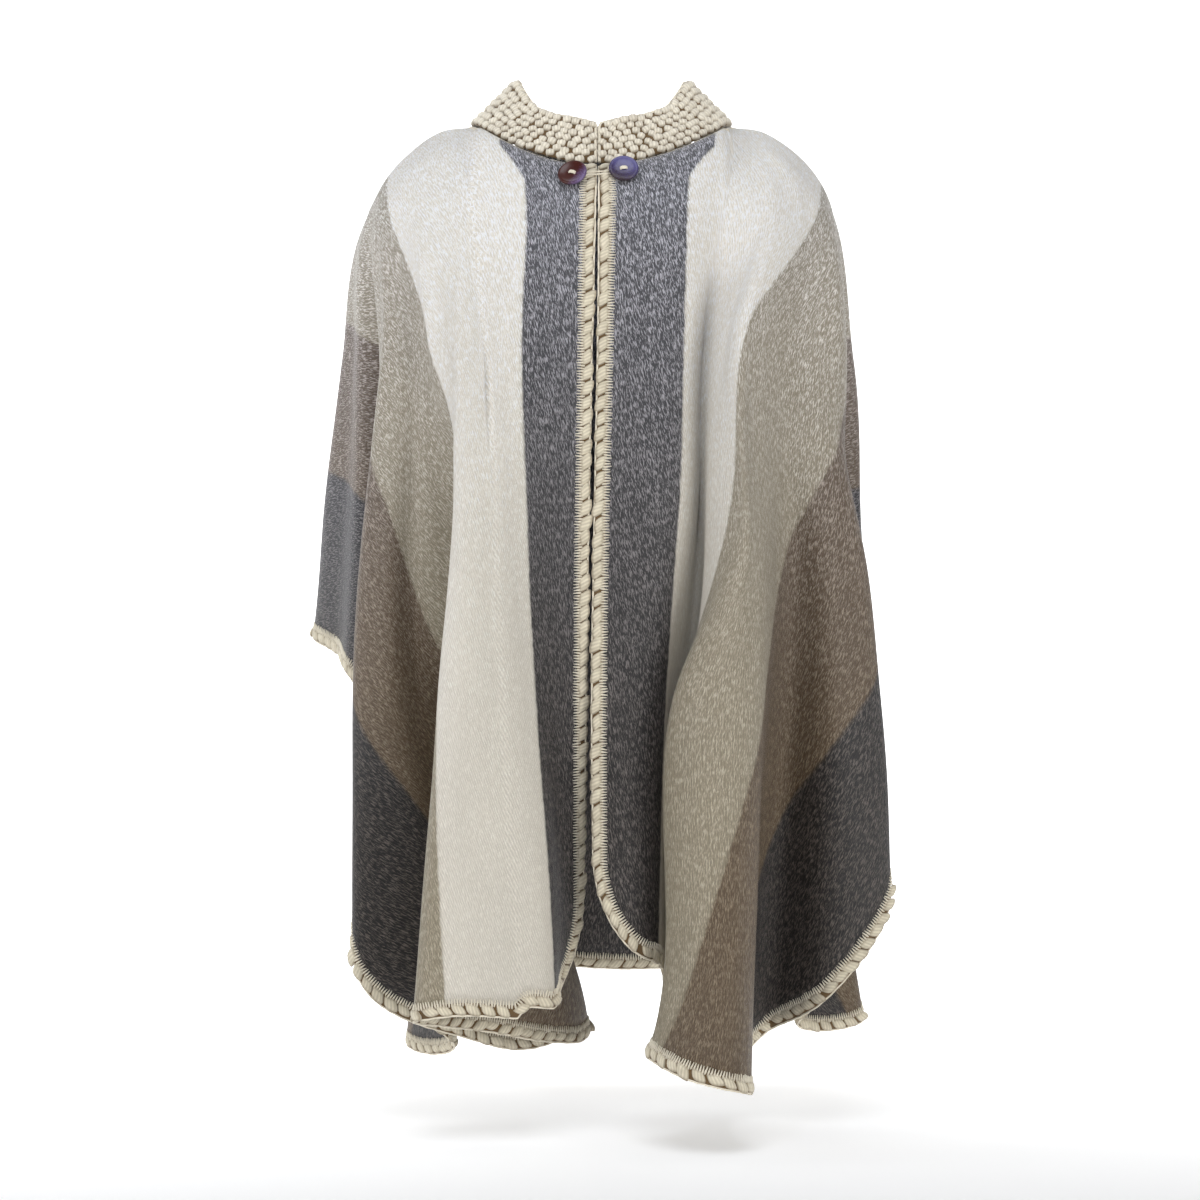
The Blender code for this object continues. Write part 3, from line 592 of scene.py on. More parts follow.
def brushed_twill():
    """Brushed wool twill: stripes, heathered fibres, the slanting twill line, and soft sheen, partly
    painted.
    """
    material, tree = new_material("brushed_twill")
    cut = add_node(tree, "UVMap", uv_map="cut").outputs[0]
    split = add_node(tree, "SeparateXYZ", {0: cut})
    x, t = split.outputs[0], split.outputs[1]
    wander = maths(tree, "SUBTRACT", noise_on(tree, cut, (260, 90, 1), 3.0), 0.5)
    place = maths(tree, "ABSOLUTE", maths(tree, "SUBTRACT", x, STRIPE_SHIFT))
    place = maths(tree, "MULTIPLY_ADD", wander, STRIPE_WANDER, place)
    near_neck = maths(tree, "DIVIDE", maths(tree, "ADD", t, FLARE_START), FLARE_REACH)
    near_neck = maths(tree, "POWER", clamped(tree, near_neck), FLARE_EASE)
    inside = maths(tree, "LESS_THAN", place, FLARE_END)
    flare = maths(tree, "MULTIPLY", maths(tree, "MULTIPLY", near_neck, inside), -FLARE_WIDTH)
    place = maths(tree, "ADD", place, flare)
    leaning, combed = (
        add_node(tree, "Mapping", {"Vector": cut, "Rotation": (0, 0, lean)}).outputs[0]
        for lean in (TWILL_LEAN, HAIR_LEAN)
    )
    twill = add_node(
        tree,
        "TexWave",
        {"Vector": leaning, "Scale": 2 * pi / 20 / TWILL_PITCH, "Distortion": 1.6, "Detail": 2.0,
         "Detail Scale": 2.2, "Detail Roughness": 0.6},
        wave_type="BANDS",
        bands_direction="X",
    ).outputs["Fac"]
    hair = noise_on(tree, leaning, HAIR_SCALE, 2.0, 0.6)
    hair = maths(tree, "MAXIMUM", hair, noise_on(tree, combed, STRAY_SCALE, 2.0, 0.6))
    tuft = maths(tree, "SUBTRACT", noise_on(tree, combed, TUFT_SCALE, 3.0, 0.6), 0.5)
    share = maths(tree, "SUBTRACT", hair, HAIR_LEVEL)
    share = maths(tree, "MULTIPLY_ADD", share, HAIR_CONTRAST, HAIR_SHARE)
    share = clamped(tree, maths(tree, "MULTIPLY_ADD", tuft, TUFT_CONTRAST, share))
    plain = stripes(tree, place, STRIPE_COLOURS)
    flecks = stripes(tree, place, STRIPE_FLECKS)
    fibres = blend_colour(tree, share, plain, flecks)
    twill_tone = maths(tree, "MULTIPLY_ADD", twill, TWILL_TONE, TWILL_DARK)
    cloud = maths(tree, "MULTIPLY_ADD", noise_on(tree, cut, CLOUD_SCALE, 2.0), CLOUD_TONE, CLOUD_DARK)
    toned = vector_maths(tree, "SCALE", fibres, maths(tree, "MULTIPLY", twill_tone, cloud))
    # Painted sheen: a paler, bluer colour added the higher the cloth hangs, most on the pale hairs,
    # capped at PALEST.
    height = add_node(tree, "SeparateXYZ", {0: object_place(tree)}).outputs[2]
    lifted = maths(tree, "DIVIDE", maths(tree, "ADD", height, PAINTED_SHEEN_FOOT), PAINTED_SHEEN_RISE)
    lifted = maths(tree, "POWER", clamped(tree, lifted), PAINTED_SHEEN_EASE)
    sheen_share = maths(tree, "MULTIPLY_ADD", share, PAINTED_SHEEN_ON_HAIR, PAINTED_SHEEN_ALL_OVER)
    painted_sheen = vector_maths(tree, "SCALE", PAINTED_SHEEN_COLOUR, maths(tree, "MULTIPLY", lifted, sheen_share))
    with_painted_sheen = vector_maths(tree, "MINIMUM", vector_maths(tree, "ADD", toned, painted_sheen), PALEST)
    relief = bump(tree, hair, 0.8, 0.0012, bump(tree, twill, 0.35, 0.0006))
    return finish(material, with_painted_sheen, relief, {
        "Roughness": 0.47,
        "Specular IOR Level": 0.42,
        "Specular Tint": (0.90, 0.94, 1.0, 1.0),
        "Sheen Weight": 0.08,
        "Sheen Roughness": 0.4,
        "Sheen Tint": (0.86, 0.91, 1.0, 1.0),
    })


def woven_cloth():
    halves = {side: evenly(cut_edge(side, CLOTH_INSET)[1], CLOTH_COLUMN) for side in (RIGHT, LEFT)}
    edge = whole_way_round(halves.get)
    neck = whole_way_round(lambda side: neck_start(halves[side]))
    root = np.clip(edge, (-NECK_HALF, 0), (NECK_HALF, 0))
    share = np.linspace(0, 1, CLOTH_ROWS + 1)[:, None, None]
    flat = root + (edge - root) * share + (neck - root) * (1 - share) ** 3
    mesh = grid_mesh("striped_wool", hang_grid(flat), flat)
    cloth = add_piece("striped_wool", mesh, brushed_twill(), "striped_cloth", "striped_cloth")
    thicken(cloth, CLOTH_THICKNESS)
    return cloth


striped_wool = woven_cloth()


# The edging. Shells of thick cream wool yarn, crocheted one after another along the whole cut
# edge. Each is a small fan of strands that leans along the edge, on a close first round.
EDGE_INSET = 0.0150
SHELL_PITCH = 0.0138
SHELL_HEIGHT = 0.0104
SHELL_DEPTH = 0.0034
SHELL_STRANDS = 4
SHELL_LEAN = -0.0056
SHELL_INSET = 0.0118
SHELL_OVERLAP = 1.02
SHELL_FOOT = 0.80
SHELL_SIZES = (0.90, 1.08)
SHELL_TURN = 14
FIRST_ROUND = 0.0012
FIRST_ROUND_INSETS = (0.0155, 0.0108, 0.0062, 0.0018)
SLIT_TOP = 0.005
SLIT_STEP = 0.004
OUTWARD_STEP = 0.006

# The shape of a fan of yarn, as shares of its own size: how soon it opens, how its tip narrows,
# how far its sides sag, and how deep the grooves between its strands are.
FAN_OPENING = 1.35
FAN_TIP = 0.75
FAN_TIP_NARROWING = 0.18
FAN_SAG = 0.10
FAN_THIN_EDGE = 0.25
FAN_PIVOT = 0.3
GROOVE_DEPTH = 0.26
# How much painted shade lies down the grooves between the strands.
GROOVE_SHADE = 0.55


def yarn_tube(sides, cuts):
    """A closed tube cut into rings, and a layer for how much painted shade darkens the yarn at a
    vertex.
    """
    bm = bmesh.new()
    bmesh.ops.create_cone(bm, cap_ends=True, segments=sides, radius1=1, radius2=1, depth=1)
    upright = [edge for edge in bm.edges if abs(edge.verts[0].co.z - edge.verts[1].co.z) > 0.5]
    bmesh.ops.subdivide_edges(bm, edges=upright, cuts=cuts)
    return bm, bm.verts.layers.float.new("crevice_shade")


def yarn_fan(width, height, depth, strands, lean, foot):
    """One shell of yarn: a fan of strands, closed all round. X runs along, Y up, Z out."""
    bm, crevice_shade = yarn_tube(4 * strands, 3)
    for vert in bm.verts:
        turn = atan2(vert.co.y, vert.co.x) / pi
        up = vert.co.z + 0.5
        face = 1 if turn >= 0 else -1
        across = 1 - 2 * abs(turn)
        groove = 0.5 + 0.5 * cos(2 * pi * strands * (across + 1) / 2)
        rim_shade = max(abs(across) ** 5, abs(2 * up - 1) ** 7)
        swell = sin(pi * min(max(0.10 + 0.80 * up, 0), 1)) ** 0.6
        spread = foot + (1 - foot) * sin(pi / 2 * min(FAN_OPENING * up, 1))
        tip = 1 - FAN_TIP_NARROWING * max(0.0, up - FAN_TIP) / (1 - FAN_TIP)
        rounded = (1 - abs(across) ** 3) ** 0.5 if abs(across) < 1 else 0.0
        rounded = FAN_THIN_EDGE + (1 - FAN_THIN_EDGE) * rounded
        # Painted shade: darker down the grooves between the strands and round the fan's rim, where
        # neighbouring shells meet.
        vert[crevice_shade] = max(GROOVE_SHADE * groove, rim_shade)
        vert.co = (
            width / 2 * across * spread * tip + lean * (up - FAN_PIVOT),
            height * (up - FAN_SAG * abs(across) ** 2 * up),
            face * depth * swell * rounded * (1 - GROOVE_DEPTH * groove),
        )
    return made_mesh("yarn_fan", bm, closed=True)


def worked_in_rows(name, stitch, places):
    """A run of crochet as one mesh: the stitch, copied to every place."""
    bm = bmesh.new()
    for place in places:
        copy = stitch.copy()
        copy.transform(place)
        bm.from_mesh(copy)
        bpy.data.meshes.remove(copy)
    return made_mesh(name, bm)


def finished_edge(inset):
    """The whole free edge, from one side of the collar's opening to the other."""
    halves = {}
    for side in (RIGHT, LEFT):
        foot, edge = cut_edge(side, inset)
        slit = np.arange(NECK_FRONT + SLIT_TOP, foot, SLIT_STEP)
        slit = np.column_stack([np.full(len(slit), inset), -slit])
        halves[side] = np.concatenate([slit, edge])
    return whole_way_round(halves.get)


def edge_places(pitch, inset):
    """Evenly spaced places on the hanging edge: points, and their ways along, out and off it."""
    points, beyond = (hang(finished_edge(inset - step)) for step in (0, OUTWARD_STEP))
    length = length_along(points)
    count = round(length[-1] / pitch)
    at = (np.arange(count) + 0.5) * length[-1] / count
    along = read_along(np.gradient(points, axis=0), length, at)
    along /= np.linalg.norm(along, axis=1)[:, None]
    out = read_along(beyond - points, length, at)
    out -= along * np.sum(out * along, axis=1)[:, None]
    out /= np.linalg.norm(out, axis=1)[:, None]
    return read_along(points, length, at), along, out


def placing(centre, along, out, scale=1.0, turn=0.0):
    """The matrix that sets a stitch down: X along the work, Y out of it."""
    along, out = Vector(along), Vector(out)
    off = along.cross(out)
    axes = Matrix((along, out, off)).transposed().to_4x4()
    turned = Matrix.Translation(centre) @ axes @ Matrix.Rotation(turn, 4, "Z")
    return turned @ Matrix.Scale(scale, 4)


YARN_BLOTCH = 0.9
YARN_SHADE = 0.62
YARN_SPECK = 0.30


def cream_yarn(name, light, dark):
    """Cream wool yarn: plied, slightly fuzzy, with painted shade down between the strands."""
    material, tree = new_material(name)
    place = object_place(tree)
    blotch = noise_on(tree, place, (95, 95, 95), 2.0)
    fuzz = noise_on(tree, place, (1500, 1500, 1500), 2.0, 0.6)
    # The painted shade each stitch carries, mixed with the yarn's own random blotches.
    crevice_shade = add_node(tree, "Attribute", attribute_name="crevice_shade").outputs["Fac"]
    shade = maths(tree, "MULTIPLY_ADD", maths(tree, "SUBTRACT", blotch, 0.5), YARN_BLOTCH, crevice_shade)
    shade = clamped(tree, maths(tree, "MULTIPLY", shade, YARN_SHADE))
    speck = maths(tree, "MULTIPLY_ADD", fuzz, YARN_SPECK, 1 - YARN_SPECK / 2)
    toned = vector_maths(tree, "SCALE", blend_colour(tree, shade, light, dark), speck)
    return finish(material, toned, bump(tree, fuzz, 0.5, 0.0006), {
        "Roughness": 0.9,
        "Specular IOR Level": 0.2,
        "Sheen Weight": 0.25,
        "Sheen Roughness": 0.5,
    })


# The yarn's pale colour, and the dark brown it turns in its blotches and its painted shade.
YARN_LIGHT = colour(220, 212, 191)
YARN_DARK = colour(104, 84, 58)
edging_yarn = cream_yarn("edging_yarn", YARN_LIGHT, YARN_DARK)
# Dark brown yarn as painted shade, for the crochet's foundation where it shows only in the gaps.
yarn_shade = cream_yarn("yarn_shade", YARN_DARK, colour(58, 42, 26))


def edging_base():
    """The close first round of crochet, from just over the cloth's edge to the cord, coloured as
    painted shade.
    """
    flat = np.array([finished_edge(inset) for inset in FIRST_ROUND_INSETS])
    mesh = grid_mesh("edging_base", hang_grid(flat), flat)
    base = add_piece("edging_base", mesh, yarn_shade, "edging_yarn", "crocheted_edging")
    thicken(base, FIRST_ROUND)
    return base


def edging_shells():
    width = SHELL_PITCH * SHELL_OVERLAP
    stitch = yarn_fan(width, SHELL_HEIGHT, SHELL_DEPTH, SHELL_STRANDS, SHELL_LEAN, SHELL_FOOT)
    hand = random.Random(7)
    places = []
    for centre, along, out in zip(*edge_places(SHELL_PITCH, SHELL_INSET)):
        scale = hand.uniform(*SHELL_SIZES)
        turn = radians(hand.uniform(-SHELL_TURN, SHELL_TURN))
        places.append(placing(centre, along, out, scale, turn))
    mesh = worked_in_rows("edging_shells", stitch, places)
    return add_piece("edging_shells", mesh, edging_yarn, "edging_yarn")


edging = edging_base()
shells = edging_shells()


# The finishing cord. A last round of plain chain is worked along the tops of the shells, so the
# free edge ends in one smooth, pale cord.
CHAIN_RADIUS = 0.0010
CHAIN_STEP = 0.0045
CHAIN_INSET = 0.0014
CHAIN_SWAY = 0.0003


def yarn_cord(name, lines, radius, material, slot_name, sides):
    """Yarn laid along lines of points, as round cords in one mesh."""
    data = bpy.data.curves.new(name, "CURVE")
    data.dimensions = "3D"
    data.bevel_depth = radius
    data.bevel_resolution = sides
    data.use_fill_caps = True
    for line in lines:
        spline = data.splines.new("POLY")
        spline.points.add(len(line) - 1)
        spline.points.foreach_set("co", np.column_stack([line, np.ones(len(line))]).ravel())
        spline.use_smooth = True
    laid = put_in_scene(name, data)
    bpy.context.view_layer.update()
    finished = laid.evaluated_get(bpy.context.evaluated_depsgraph_get())
    mesh = bpy.data.meshes.new_from_object(finished)
    mesh.name = name
    bpy.data.objects.remove(laid)
    bpy.data.curves.remove(data)
    mesh.shade_smooth()
    return add_piece(name, mesh, material, slot_name)


chain_yarn = cream_yarn("chain_yarn", colour(224, 216, 198), YARN_DARK)


def finishing_cord():
    hand = random.Random(11)
    points, along, out = edge_places(CHAIN_STEP, CHAIN_INSET)
    sway = np.array([hand.uniform(-CHAIN_SWAY, CHAIN_SWAY) for _ in points])
    line = points + out * sway[:, None]
    return yarn_cord("finishing_cord", [line], CHAIN_RADIUS, chain_yarn, "edging_yarn", 1)


cord = finishing_cord()


# The blanket stitch. Close pale stitches hold the first round of crochet to the cut edge. Each
# is fat on the crochet and thin where it bites into the cloth, and shows on both faces.
STITCH_PITCH = 0.0026
STITCH_LENGTH = 0.0072
STITCH_RADIUS = 0.00125
STITCH_DEPTH = 0.0021
STITCH_SEAT = 0.22
STITCH_UNEVEN = 0.0005
STITCH_SIZES = (0.92, 1.08)
STITCH_TURN = 9


def yarn_tooth(length, radius, depth):
    """One stitch: a tapered loop of yarn through the cloth, lying along Y, thick end outward."""
    bm, crevice_shade = yarn_tube(8, 2)
    for vert in bm.verts:
        up = vert.co.z + 0.5
        fat = (0.34 + 0.86 * up) * (1 - 0.5 * max(0.0, up - 0.7) / 0.3)
        # Painted shade down the stitch's sides, where its neighbours press close, more towards the
        # thick end.
        vert[crevice_shade] = abs(vert.co.x) ** 6 * (0.35 + 0.65 * up)
        deep = depth * (0.72 + 0.28 * fat)
        vert.co = (vert.co.x * radius * fat, vert.co.z * length, vert.co.y * deep)
    return made_mesh("yarn_tooth", bm, closed=True)


stitch_yarn = cream_yarn("stitch_yarn", colour(214, 207, 190), colour(128, 106, 76))


def blanket_stitches():
    tooth = yarn_tooth(STITCH_LENGTH, STITCH_RADIUS, STITCH_DEPTH)
    hand = random.Random(23)
    places = []
    for centre, along, out in zip(*edge_places(STITCH_PITCH, EDGE_INSET)):
        reach = hand.uniform(-STITCH_UNEVEN, STITCH_UNEVEN)
        middle = Vector(centre) + Vector(out) * (STITCH_LENGTH * STITCH_SEAT + reach)
        scale = hand.uniform(*STITCH_SIZES)
        turn = radians(hand.uniform(-STITCH_TURN, STITCH_TURN))
        places.append(placing(middle, along, out, scale, turn))
    mesh = worked_in_rows("blanket_stitches", tooth, places)
    return add_piece("blanket_stitches", mesh, stitch_yarn, "edging_yarn")


stitches = blanket_stitches()


# The collar. A stand collar crocheted in the same yarn, round the neck hole in rows of plump
# shells. It is open at the centre front, and leans in to follow the neck.
COLLAR_FOOT_LIFT = 0.0030
COLLAR_TOP_HALF = {LEFT: 0.088, RIGHT: 0.079}
COLLAR_TOP_FORWARD = 0.066
COLLAR_TOP_REARWARD = 0.080
COLLAR_HALF_SLIT = 0.0032
COLLAR_RIM = (  # degrees round from the centre front, and the rim's height there
    (0, 12, 30, 48, 60, 70, 90, 120, 135, 150, 180),
    (-0.006, -0.001, 0.004, 0.013, 0.028, 0.040, 0.043, 0.034, 0.024, 0.019, 0.0125),
)
COLLAR_LINING = 0.0020
COLLAR_CORD = 0.0016
COLLAR_CORD_INSET = 0.0013
COLLAR_ROWS = 7
COLLAR_SHELLS = 62
COLLAR_ROW_SHIFT = 0.5
COLLAR_SHELL_DEPTH = 0.0044
COLLAR_SHELL_TALL = 1.16
COLLAR_SHELL_WIDE = (0.98, 1.12)
COLLAR_SHELL_LEAN = 26
COLLAR_TURNS = np.linspace(-pi, pi, 241)


def collar_point(turn, up):
    """A point of the collar: turn round the neck from the centre back (+ left), up from 0 to 1."""
    side = LEFT if turn >= 0 else RIGHT
    a = pi - abs(turn)
    back = a > pi / 2
    foot = Vector((
        NECK_WORN[side] * sin(a),
        -(NECK_REARWARD if back else NECK_FORWARD) * cos(a),
        COLLAR_FOOT_LIFT - (NECK_DROP_BACK if back else NECK_DROP_FRONT) * cos(a) ** 2,
    ))
    rim = Vector((
        COLLAR_TOP_HALF[side] * sin(a),
        -(COLLAR_TOP_REARWARD if back else COLLAR_TOP_FORWARD) * cos(a),
        float(np.interp(np.degrees(a), *COLLAR_RIM)),
    ))
    point = foot.lerp(rim, up)
    if not back:
        point.x = max(point.x, COLLAR_HALF_SLIT)
    point.x *= side
    return point


def collar_place(turn, up):
    """A place on the collar and the ways round it and up it."""
    step = 0.02
    here = collar_point(turn, up)
    around = collar_point(min(turn + step, pi), up) - collar_point(max(turn - step, -pi), up)
    upward = collar_point(turn, min(up + 0.1, 1)) - collar_point(turn, max(up - 0.1, 0))
    around.normalize()
    upward = (upward - around * upward.dot(around)).normalized()
    return here, around, upward


collar_yarn = cream_yarn("collar_yarn", colour(234, 227, 211), colour(104, 86, 62))


def collar_lining():
    """The close foundation of the crochet, seen only down between the shells, coloured as painted
    shade.
    """
    turns = np.linspace(-pi, pi, 121)
    ups = np.linspace(0, 1, 9)
    points = np.array([[collar_point(turn, up) for turn in turns] for up in ups[::-1]])
    flat = np.array([[(turn * 0.1, up * 0.05) for turn in turns] for up in ups[::-1]])
    mesh = grid_mesh("collar_foundation", points, flat)
    lining = add_piece("collar_foundation", mesh, yarn_shade, "collar_yarn", "crocheted_collar")
    thicken(lining, COLLAR_LINING)


def collar_shells():
    """The rows of shells, each row set a little along from the one below."""
    stitch = yarn_fan(1.0, 1.0, 1.0, 3, 0.0, 0.78)
    hand = random.Random(31)
    places = []
    for row in range(COLLAR_ROWS):
        up = (row + 0.5) / COLLAR_ROWS
        ring = [collar_point(turn, up) for turn in COLLAR_TURNS]
        length = np.insert(np.cumsum([(b - a).length for a, b in zip(ring, ring[1:])]), 0, 0)
        for count in range(COLLAR_SHELLS):
            at = (count + 0.5 + COLLAR_ROW_SHIFT * (row % 2 - 0.5)) / COLLAR_SHELLS * length[-1]
            turn = float(np.interp(at, length, COLLAR_TURNS))
            here, around, upward = collar_place(turn, up)
            height = (collar_point(turn, 1) - collar_point(turn, 0)).length / COLLAR_ROWS
            width = length[-1] / COLLAR_SHELLS * hand.uniform(*COLLAR_SHELL_WIDE)
            size = Matrix.Diagonal((width, height * COLLAR_SHELL_TALL, COLLAR_SHELL_DEPTH, 1))
            lean = (20 if row % 2 else 12) * turn / abs(turn)
            lean = radians(lean + hand.uniform(-COLLAR_SHELL_LEAN, COLLAR_SHELL_LEAN))
            middle = here + around * hand.uniform(-0.0014, 0.0014)
            middle += upward * hand.uniform(-0.0010, 0.0010)
            set_down = placing(middle, around, upward, hand.uniform(*STITCH_SIZES), lean)
            places.append(set_down @ size @ Matrix.Translation((0, -0.5, 0)))
    mesh = worked_in_rows("collar_shells", stitch, places)
    return add_piece("collar_shells", mesh, collar_yarn, "collar_yarn")


def collar_border():
    """The chain cord along the top and down both front ends of the collar."""
    inset = Vector((COLLAR_CORD_INSET, 0, 0))
    rim = [collar_point(turn, 1.0) for turn in np.linspace(-pi, pi, 161)]
    right = [collar_point(-pi, up) + inset for up in np.linspace(0.02, 1, 14)[:-1]]
    left = [collar_point(pi, up) - inset for up in np.linspace(1, 0.02, 14)[1:]]
    line = np.array([tuple(point) for point in right + rim + left])
    return yarn_cord("collar_border", [line], COLLAR_CORD, chain_yarn, "collar_yarn", 1)


collar_lining()
collar_shells()
collar_border()


NECK_STITCH_LENGTH = 0.0055
NECK_STITCH_RADIUS = STITCH_RADIUS * 0.9
NECK_STITCH_DEPTH = 0.0016
NECK_STITCH_SEAT = 0.0030
NECK_STITCH_TURN = 12


def collar_stitches():
    """The blanket stitches that hold the collar's foot to the neck edge of the cloth."""
    tooth = yarn_tooth(NECK_STITCH_LENGTH, NECK_STITCH_RADIUS, NECK_STITCH_DEPTH)
    hand = random.Random(41)
    a = np.linspace(0.10, pi, 240)
    places = []
    for side in (RIGHT, LEFT):
        points, outer = (hang(neckline(a, out) * (side, 1)) for out in (0, OUTWARD_STEP))
        length = length_along(points)
        for at in np.arange(0.001, length[-1], STITCH_PITCH):
            here, far = (Vector(read_along(run, length, at)[0]) for run in (points, outer))
            out = (far - here).normalized()
            along = Vector(read_along(points, length, at + 0.002)[0]) - here
            along = (along - out * along.dot(out)).normalized()
            turned = radians(180 + hand.uniform(-NECK_STITCH_TURN, NECK_STITCH_TURN))
            middle = here + out * NECK_STITCH_SEAT
            places.append(placing(middle, along, out, hand.uniform(0.9, 1.1), turned))
    mesh = worked_in_rows("collar_stitches", tooth, places)
    return add_piece("collar_stitches", mesh, stitch_yarn, "collar_yarn")


collar_stitches()


# The buttons. Two turned discs of polished coconut shell, dished in the middle, with a raised rim
# and two holes. Each is sewn on beside the opening, just under the collar.
BUTTON_LIFT = 0.0066
HOLE_SPACING = 0.0056
Button = namedtuple("Button", "s t faces turn")
BUTTONS = {
    RIGHT: Button(0.0225, 0.1252, (-0.24, -0.82, 0.52), -25),
    LEFT: Button(0.0237, 0.1193, (0.03, -0.88, 0.47), 8),
}


def seat(side, s, t, faces, lift):
    """A point over the front of the cloth, lifted off it along a direction."""
    surface = drape([(s * side, -t)])[0]
    return Vector(surface) + Vector(faces).normalized() * lift


def button_centre(side):
    button = BUTTONS[side]
    return seat(side, button.s, button.t, button.faces, BUTTON_LIFT)


def button_place(side):
    """The place of a button: it faces its own way, with its two holes nearly level."""
    button = BUTTONS[side]
    up = Vector(button.faces).normalized()
    along = Vector((cos(radians(button.turn)), 0, sin(radians(button.turn))))
    along = (along - up * along.dot(up)).normalized()
    axes = Matrix((along, up.cross(along), up)).transposed()
    return Matrix.Translation(button_centre(side)) @ axes.to_4x4()


# Radius and height, from the middle of the back round the rim to the middle of the dish.
BUTTON_PROFILE = (
    (0.0000, -0.0019), (0.0118, -0.0019), (0.0132, -0.0013), (0.0138, -0.0002),
    (0.0136, 0.0011), (0.0128, 0.0018), (0.0118, 0.0019), (0.0108, 0.0015),
    (0.0088, 0.0009), (0.0050, 0.0006), (0.0000, 0.0006),
)
BUTTON_STEPS = 64


def shell_button(side, name, node, material):
    bm = bmesh.new()
    verts = [bm.verts.new((radius, 0, height)) for radius, height in BUTTON_PROFILE]
    edges = [bm.edges.new(pair) for pair in zip(verts, verts[1:])]
    bmesh.ops.spin(
        bm, geom=verts + edges, cent=(0, 0, 0), axis=(0, 0, 1), angle=2 * pi,
        steps=BUTTON_STEPS, use_merge=True,
    )
    bmesh.ops.remove_doubles(bm, verts=bm.verts[:], dist=1e-6)
    bm.transform(button_place(side))
    add_piece(name, made_mesh(name, bm, closed=True), material, node, node)


GLOW_FALL = 90.0
GLOW_STREAK = 2.2


def polished_shell(name, face, glow, side, glow_way, glow_share):
    """Polished dark shell with fine streaks, and a painted violet sheen to one side for the light on
    its lacquer.
    """
    material, tree = new_material(name)
    place = object_place(tree)
    grain = noise_on(tree, place, (700, 700, 1500), 4.0, 0.6)
    offset = vector_maths(tree, "SUBTRACT", place, button_centre(side))
    across = vector_maths(tree, "DOT_PRODUCT", offset, glow_way)
    # Painted sheen: the violet glow colour is laid over one side of the button, falling off across it
    # and broken by the grain.
    lit = maths(tree, "MULTIPLY_ADD", across, GLOW_FALL, glow_share)
    lit = maths(tree, "MULTIPLY_ADD", maths(tree, "SUBTRACT", grain, 0.5), GLOW_STREAK, lit)
    dark = vector_maths(tree, "SCALE", face[:3], maths(tree, "MULTIPLY_ADD", grain, 1.2, 0.4))
    base = blend_colour(tree, clamped(tree, lit), dark, glow)
    return finish(material, base, bump(tree, grain, 0.15, 0.0003), {
        "Roughness": 0.3,
        "Specular IOR Level": 0.3,
        "Coat Weight": 0.12,
        "Coat Roughness": 0.12,
    })


right_shell = polished_shell(
    "red_brown_shell", colour(62, 24, 18), colour(104, 88, 128), RIGHT, (1, 0, -0.8), -0.25
)
left_shell = polished_shell(
    "violet_sheen_shell", colour(52, 38, 40), colour(78, 74, 124), LEFT, (0.2, 0, 0.6), 0.62
)
shell_button(RIGHT, "right_button", "button_right", right_shell)
shell_button(LEFT, "left_button", "button_left", left_shell)


# The tie. A doubled length of the same yarn joins the two buttons across the opening, and more
# of it sews each button on through its two holes.
TIE_ENDS = {RIGHT: (0.0160, 0.1235), LEFT: (0.0170, 0.1205)}
TIE_FACES = (0.0, -0.78, 0.62)
TIE_LIFT = 0.0028
TIE_YARN = 0.00085
TIE_RUNS = ((0.0017, 0.0003), (-0.0017, -0.0006))  # how far each is from the middle, and its sag
TIE_WAIST = 0.25
SEWING_RUNS = (-0.0009, 0.0, 0.0009)
SEWING_LOOP = ((-1, -0.0008), (-1, 0.0008), (-0.5, 0.0018), (0.5, 0.0018), (1, 0.0008), (1, -0.0008))


def button_yarn():
    right, left = (seat(side, *TIE_ENDS[side], TIE_FACES, TIE_LIFT) for side in (RIGHT, LEFT))
    up = Vector(TIE_FACES).normalized().cross(left - right).normalized()
    lines = []
    for gap, sag in TIE_RUNS:
        run = []
        for share in np.linspace(0, 1, 17):
            spread = gap * (1 - TIE_WAIST * sin(pi * share))
            run.append(right.lerp(left, share) + up * (spread + sag * sin(pi * share)))
        lines.append([tuple(point) for point in run])
    for place in (button_place(RIGHT), button_place(LEFT)):
        for shift in SEWING_RUNS:
            loop = [(HOLE_SPACING / 2 * across, shift, height) for across, height in SEWING_LOOP]
            lines.append([tuple(place @ Vector(point)) for point in loop])
    return yarn_cord("button_yarn", lines, TIE_YARN, chain_yarn, "tie_yarn", 2)


tie = button_yarn()
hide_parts("button_tie")


# The studio: a plain pale floor that curves up behind, soft light from the front and above, and
# a camera level with the middle of the poncho.
FLOOR = -0.945
FLOOR_FRONT, FLOOR_DEPTH, FLOOR_HALF_WIDTH = -4.0, 9.0, 7.0
SWEEP_START, SWEEP_RADIUS = 2.2, 1.2
PAPER_GLOW, PAPER_GLOW_RISE, PAPER_GLOW_MOST = 0.44, 0.9, 0.80


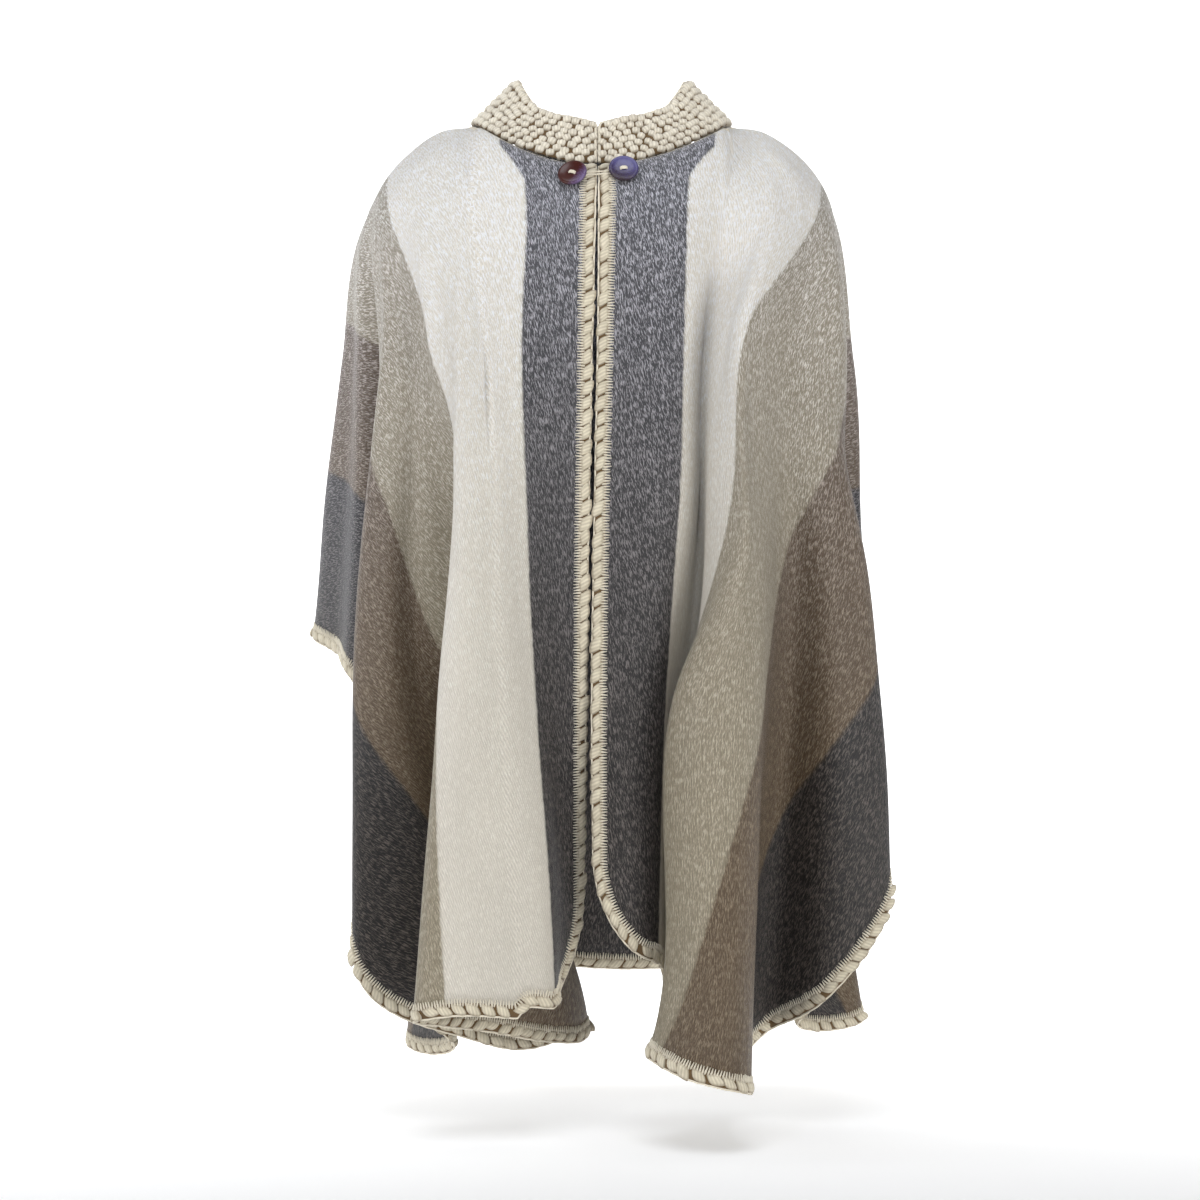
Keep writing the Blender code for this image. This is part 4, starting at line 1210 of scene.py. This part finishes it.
def studio_floor():
    bm = bmesh.new()
    bmesh.ops.create_grid(bm, x_segments=2, y_segments=60, size=1)
    quarter = SWEEP_RADIUS * pi / 2
    for vert in bm.verts:
        run = (vert.co.y + 1) / 2 * FLOOR_DEPTH + FLOOR_FRONT
        past = min(max(run - SWEEP_START, 0), quarter)
        rest = max(run - SWEEP_START - quarter, 0)
        vert.co = (
            vert.co.x * FLOOR_HALF_WIDTH,
            min(run, SWEEP_START) + SWEEP_RADIUS * sin(past / SWEEP_RADIUS),
            FLOOR + SWEEP_RADIUS * (1 - cos(past / SWEEP_RADIUS)) + rest,
        )
    floor = put_in_scene("studio_floor", made_mesh("studio_floor", bm))
    paper, tree = new_material("white_paper")
    shader = tree.nodes["Principled BSDF"]
    shader.inputs["Base Color"].default_value = (0.95, 0.95, 0.95, 1)
    shader.inputs["Emission Color"].default_value = (1, 1, 1, 1)
    shader.inputs["Roughness"].default_value = 1.0
    depth = add_node(tree, "SeparateXYZ", {0: object_place(tree)}).outputs[1]
    glow = maths(tree, "MULTIPLY_ADD", depth, PAPER_GLOW_RISE, PAPER_GLOW)
    tree.links.new(clamped(tree, glow, PAPER_GLOW_MOST), shader.inputs["Emission Strength"])
    floor.data.materials.append(paper)


def soft_light(name, place, target, size, watts, tint=(1, 1, 1)):
    data = bpy.data.lights.new(name, "AREA")
    data.shape = "SQUARE"
    data.size = size
    data.energy = watts
    data.color = tint
    light = put_in_scene(name, data)
    light.location = place
    light.rotation_euler = (Vector(target) - Vector(place)).to_track_quat("-Z", "Y").to_euler()


studio_floor()
soft_light("key", (0.0, -1.5, 1.7), (0, 0, -0.3), 1.4, 31, (0.92, 0.95, 1.0))
soft_light("right_front", (2.1, -2.3, -0.2), (0, 0, -0.5), 1.6, 44, (1.0, 0.98, 0.94))
soft_light("left_front", (-2.2, -1.9, 0.15), (0, 0, -0.5), 1.6, 34, (1.0, 0.98, 0.95))
soft_light("side", (-2.6, 0.2, 0.5), (0, 0, -0.3), 1.5, 21, (0.90, 0.94, 1.0))
soft_light("paper", (0, 1.4, 3.0), (0, 2.8, -0.5), 3.0, 40)
world = bpy.data.worlds.new("studio")
world.use_nodes = True
background = world.node_tree.nodes["Background"]
background.inputs["Color"].default_value = (1, 1, 1, 1)
background.inputs["Strength"].default_value = 0.08
bpy.context.scene.world = world
bpy.context.scene.view_settings.view_transform = "Standard"

camera_data = bpy.data.cameras.new("camera")
camera_data.sensor_width = 36
camera_data.lens = 93.75
camera = put_in_scene("camera", camera_data)
camera.location = (0.0024, -3.0, -0.4527)
camera.rotation_euler = (radians(90), 0, 0)
bpy.context.scene.camera = camera
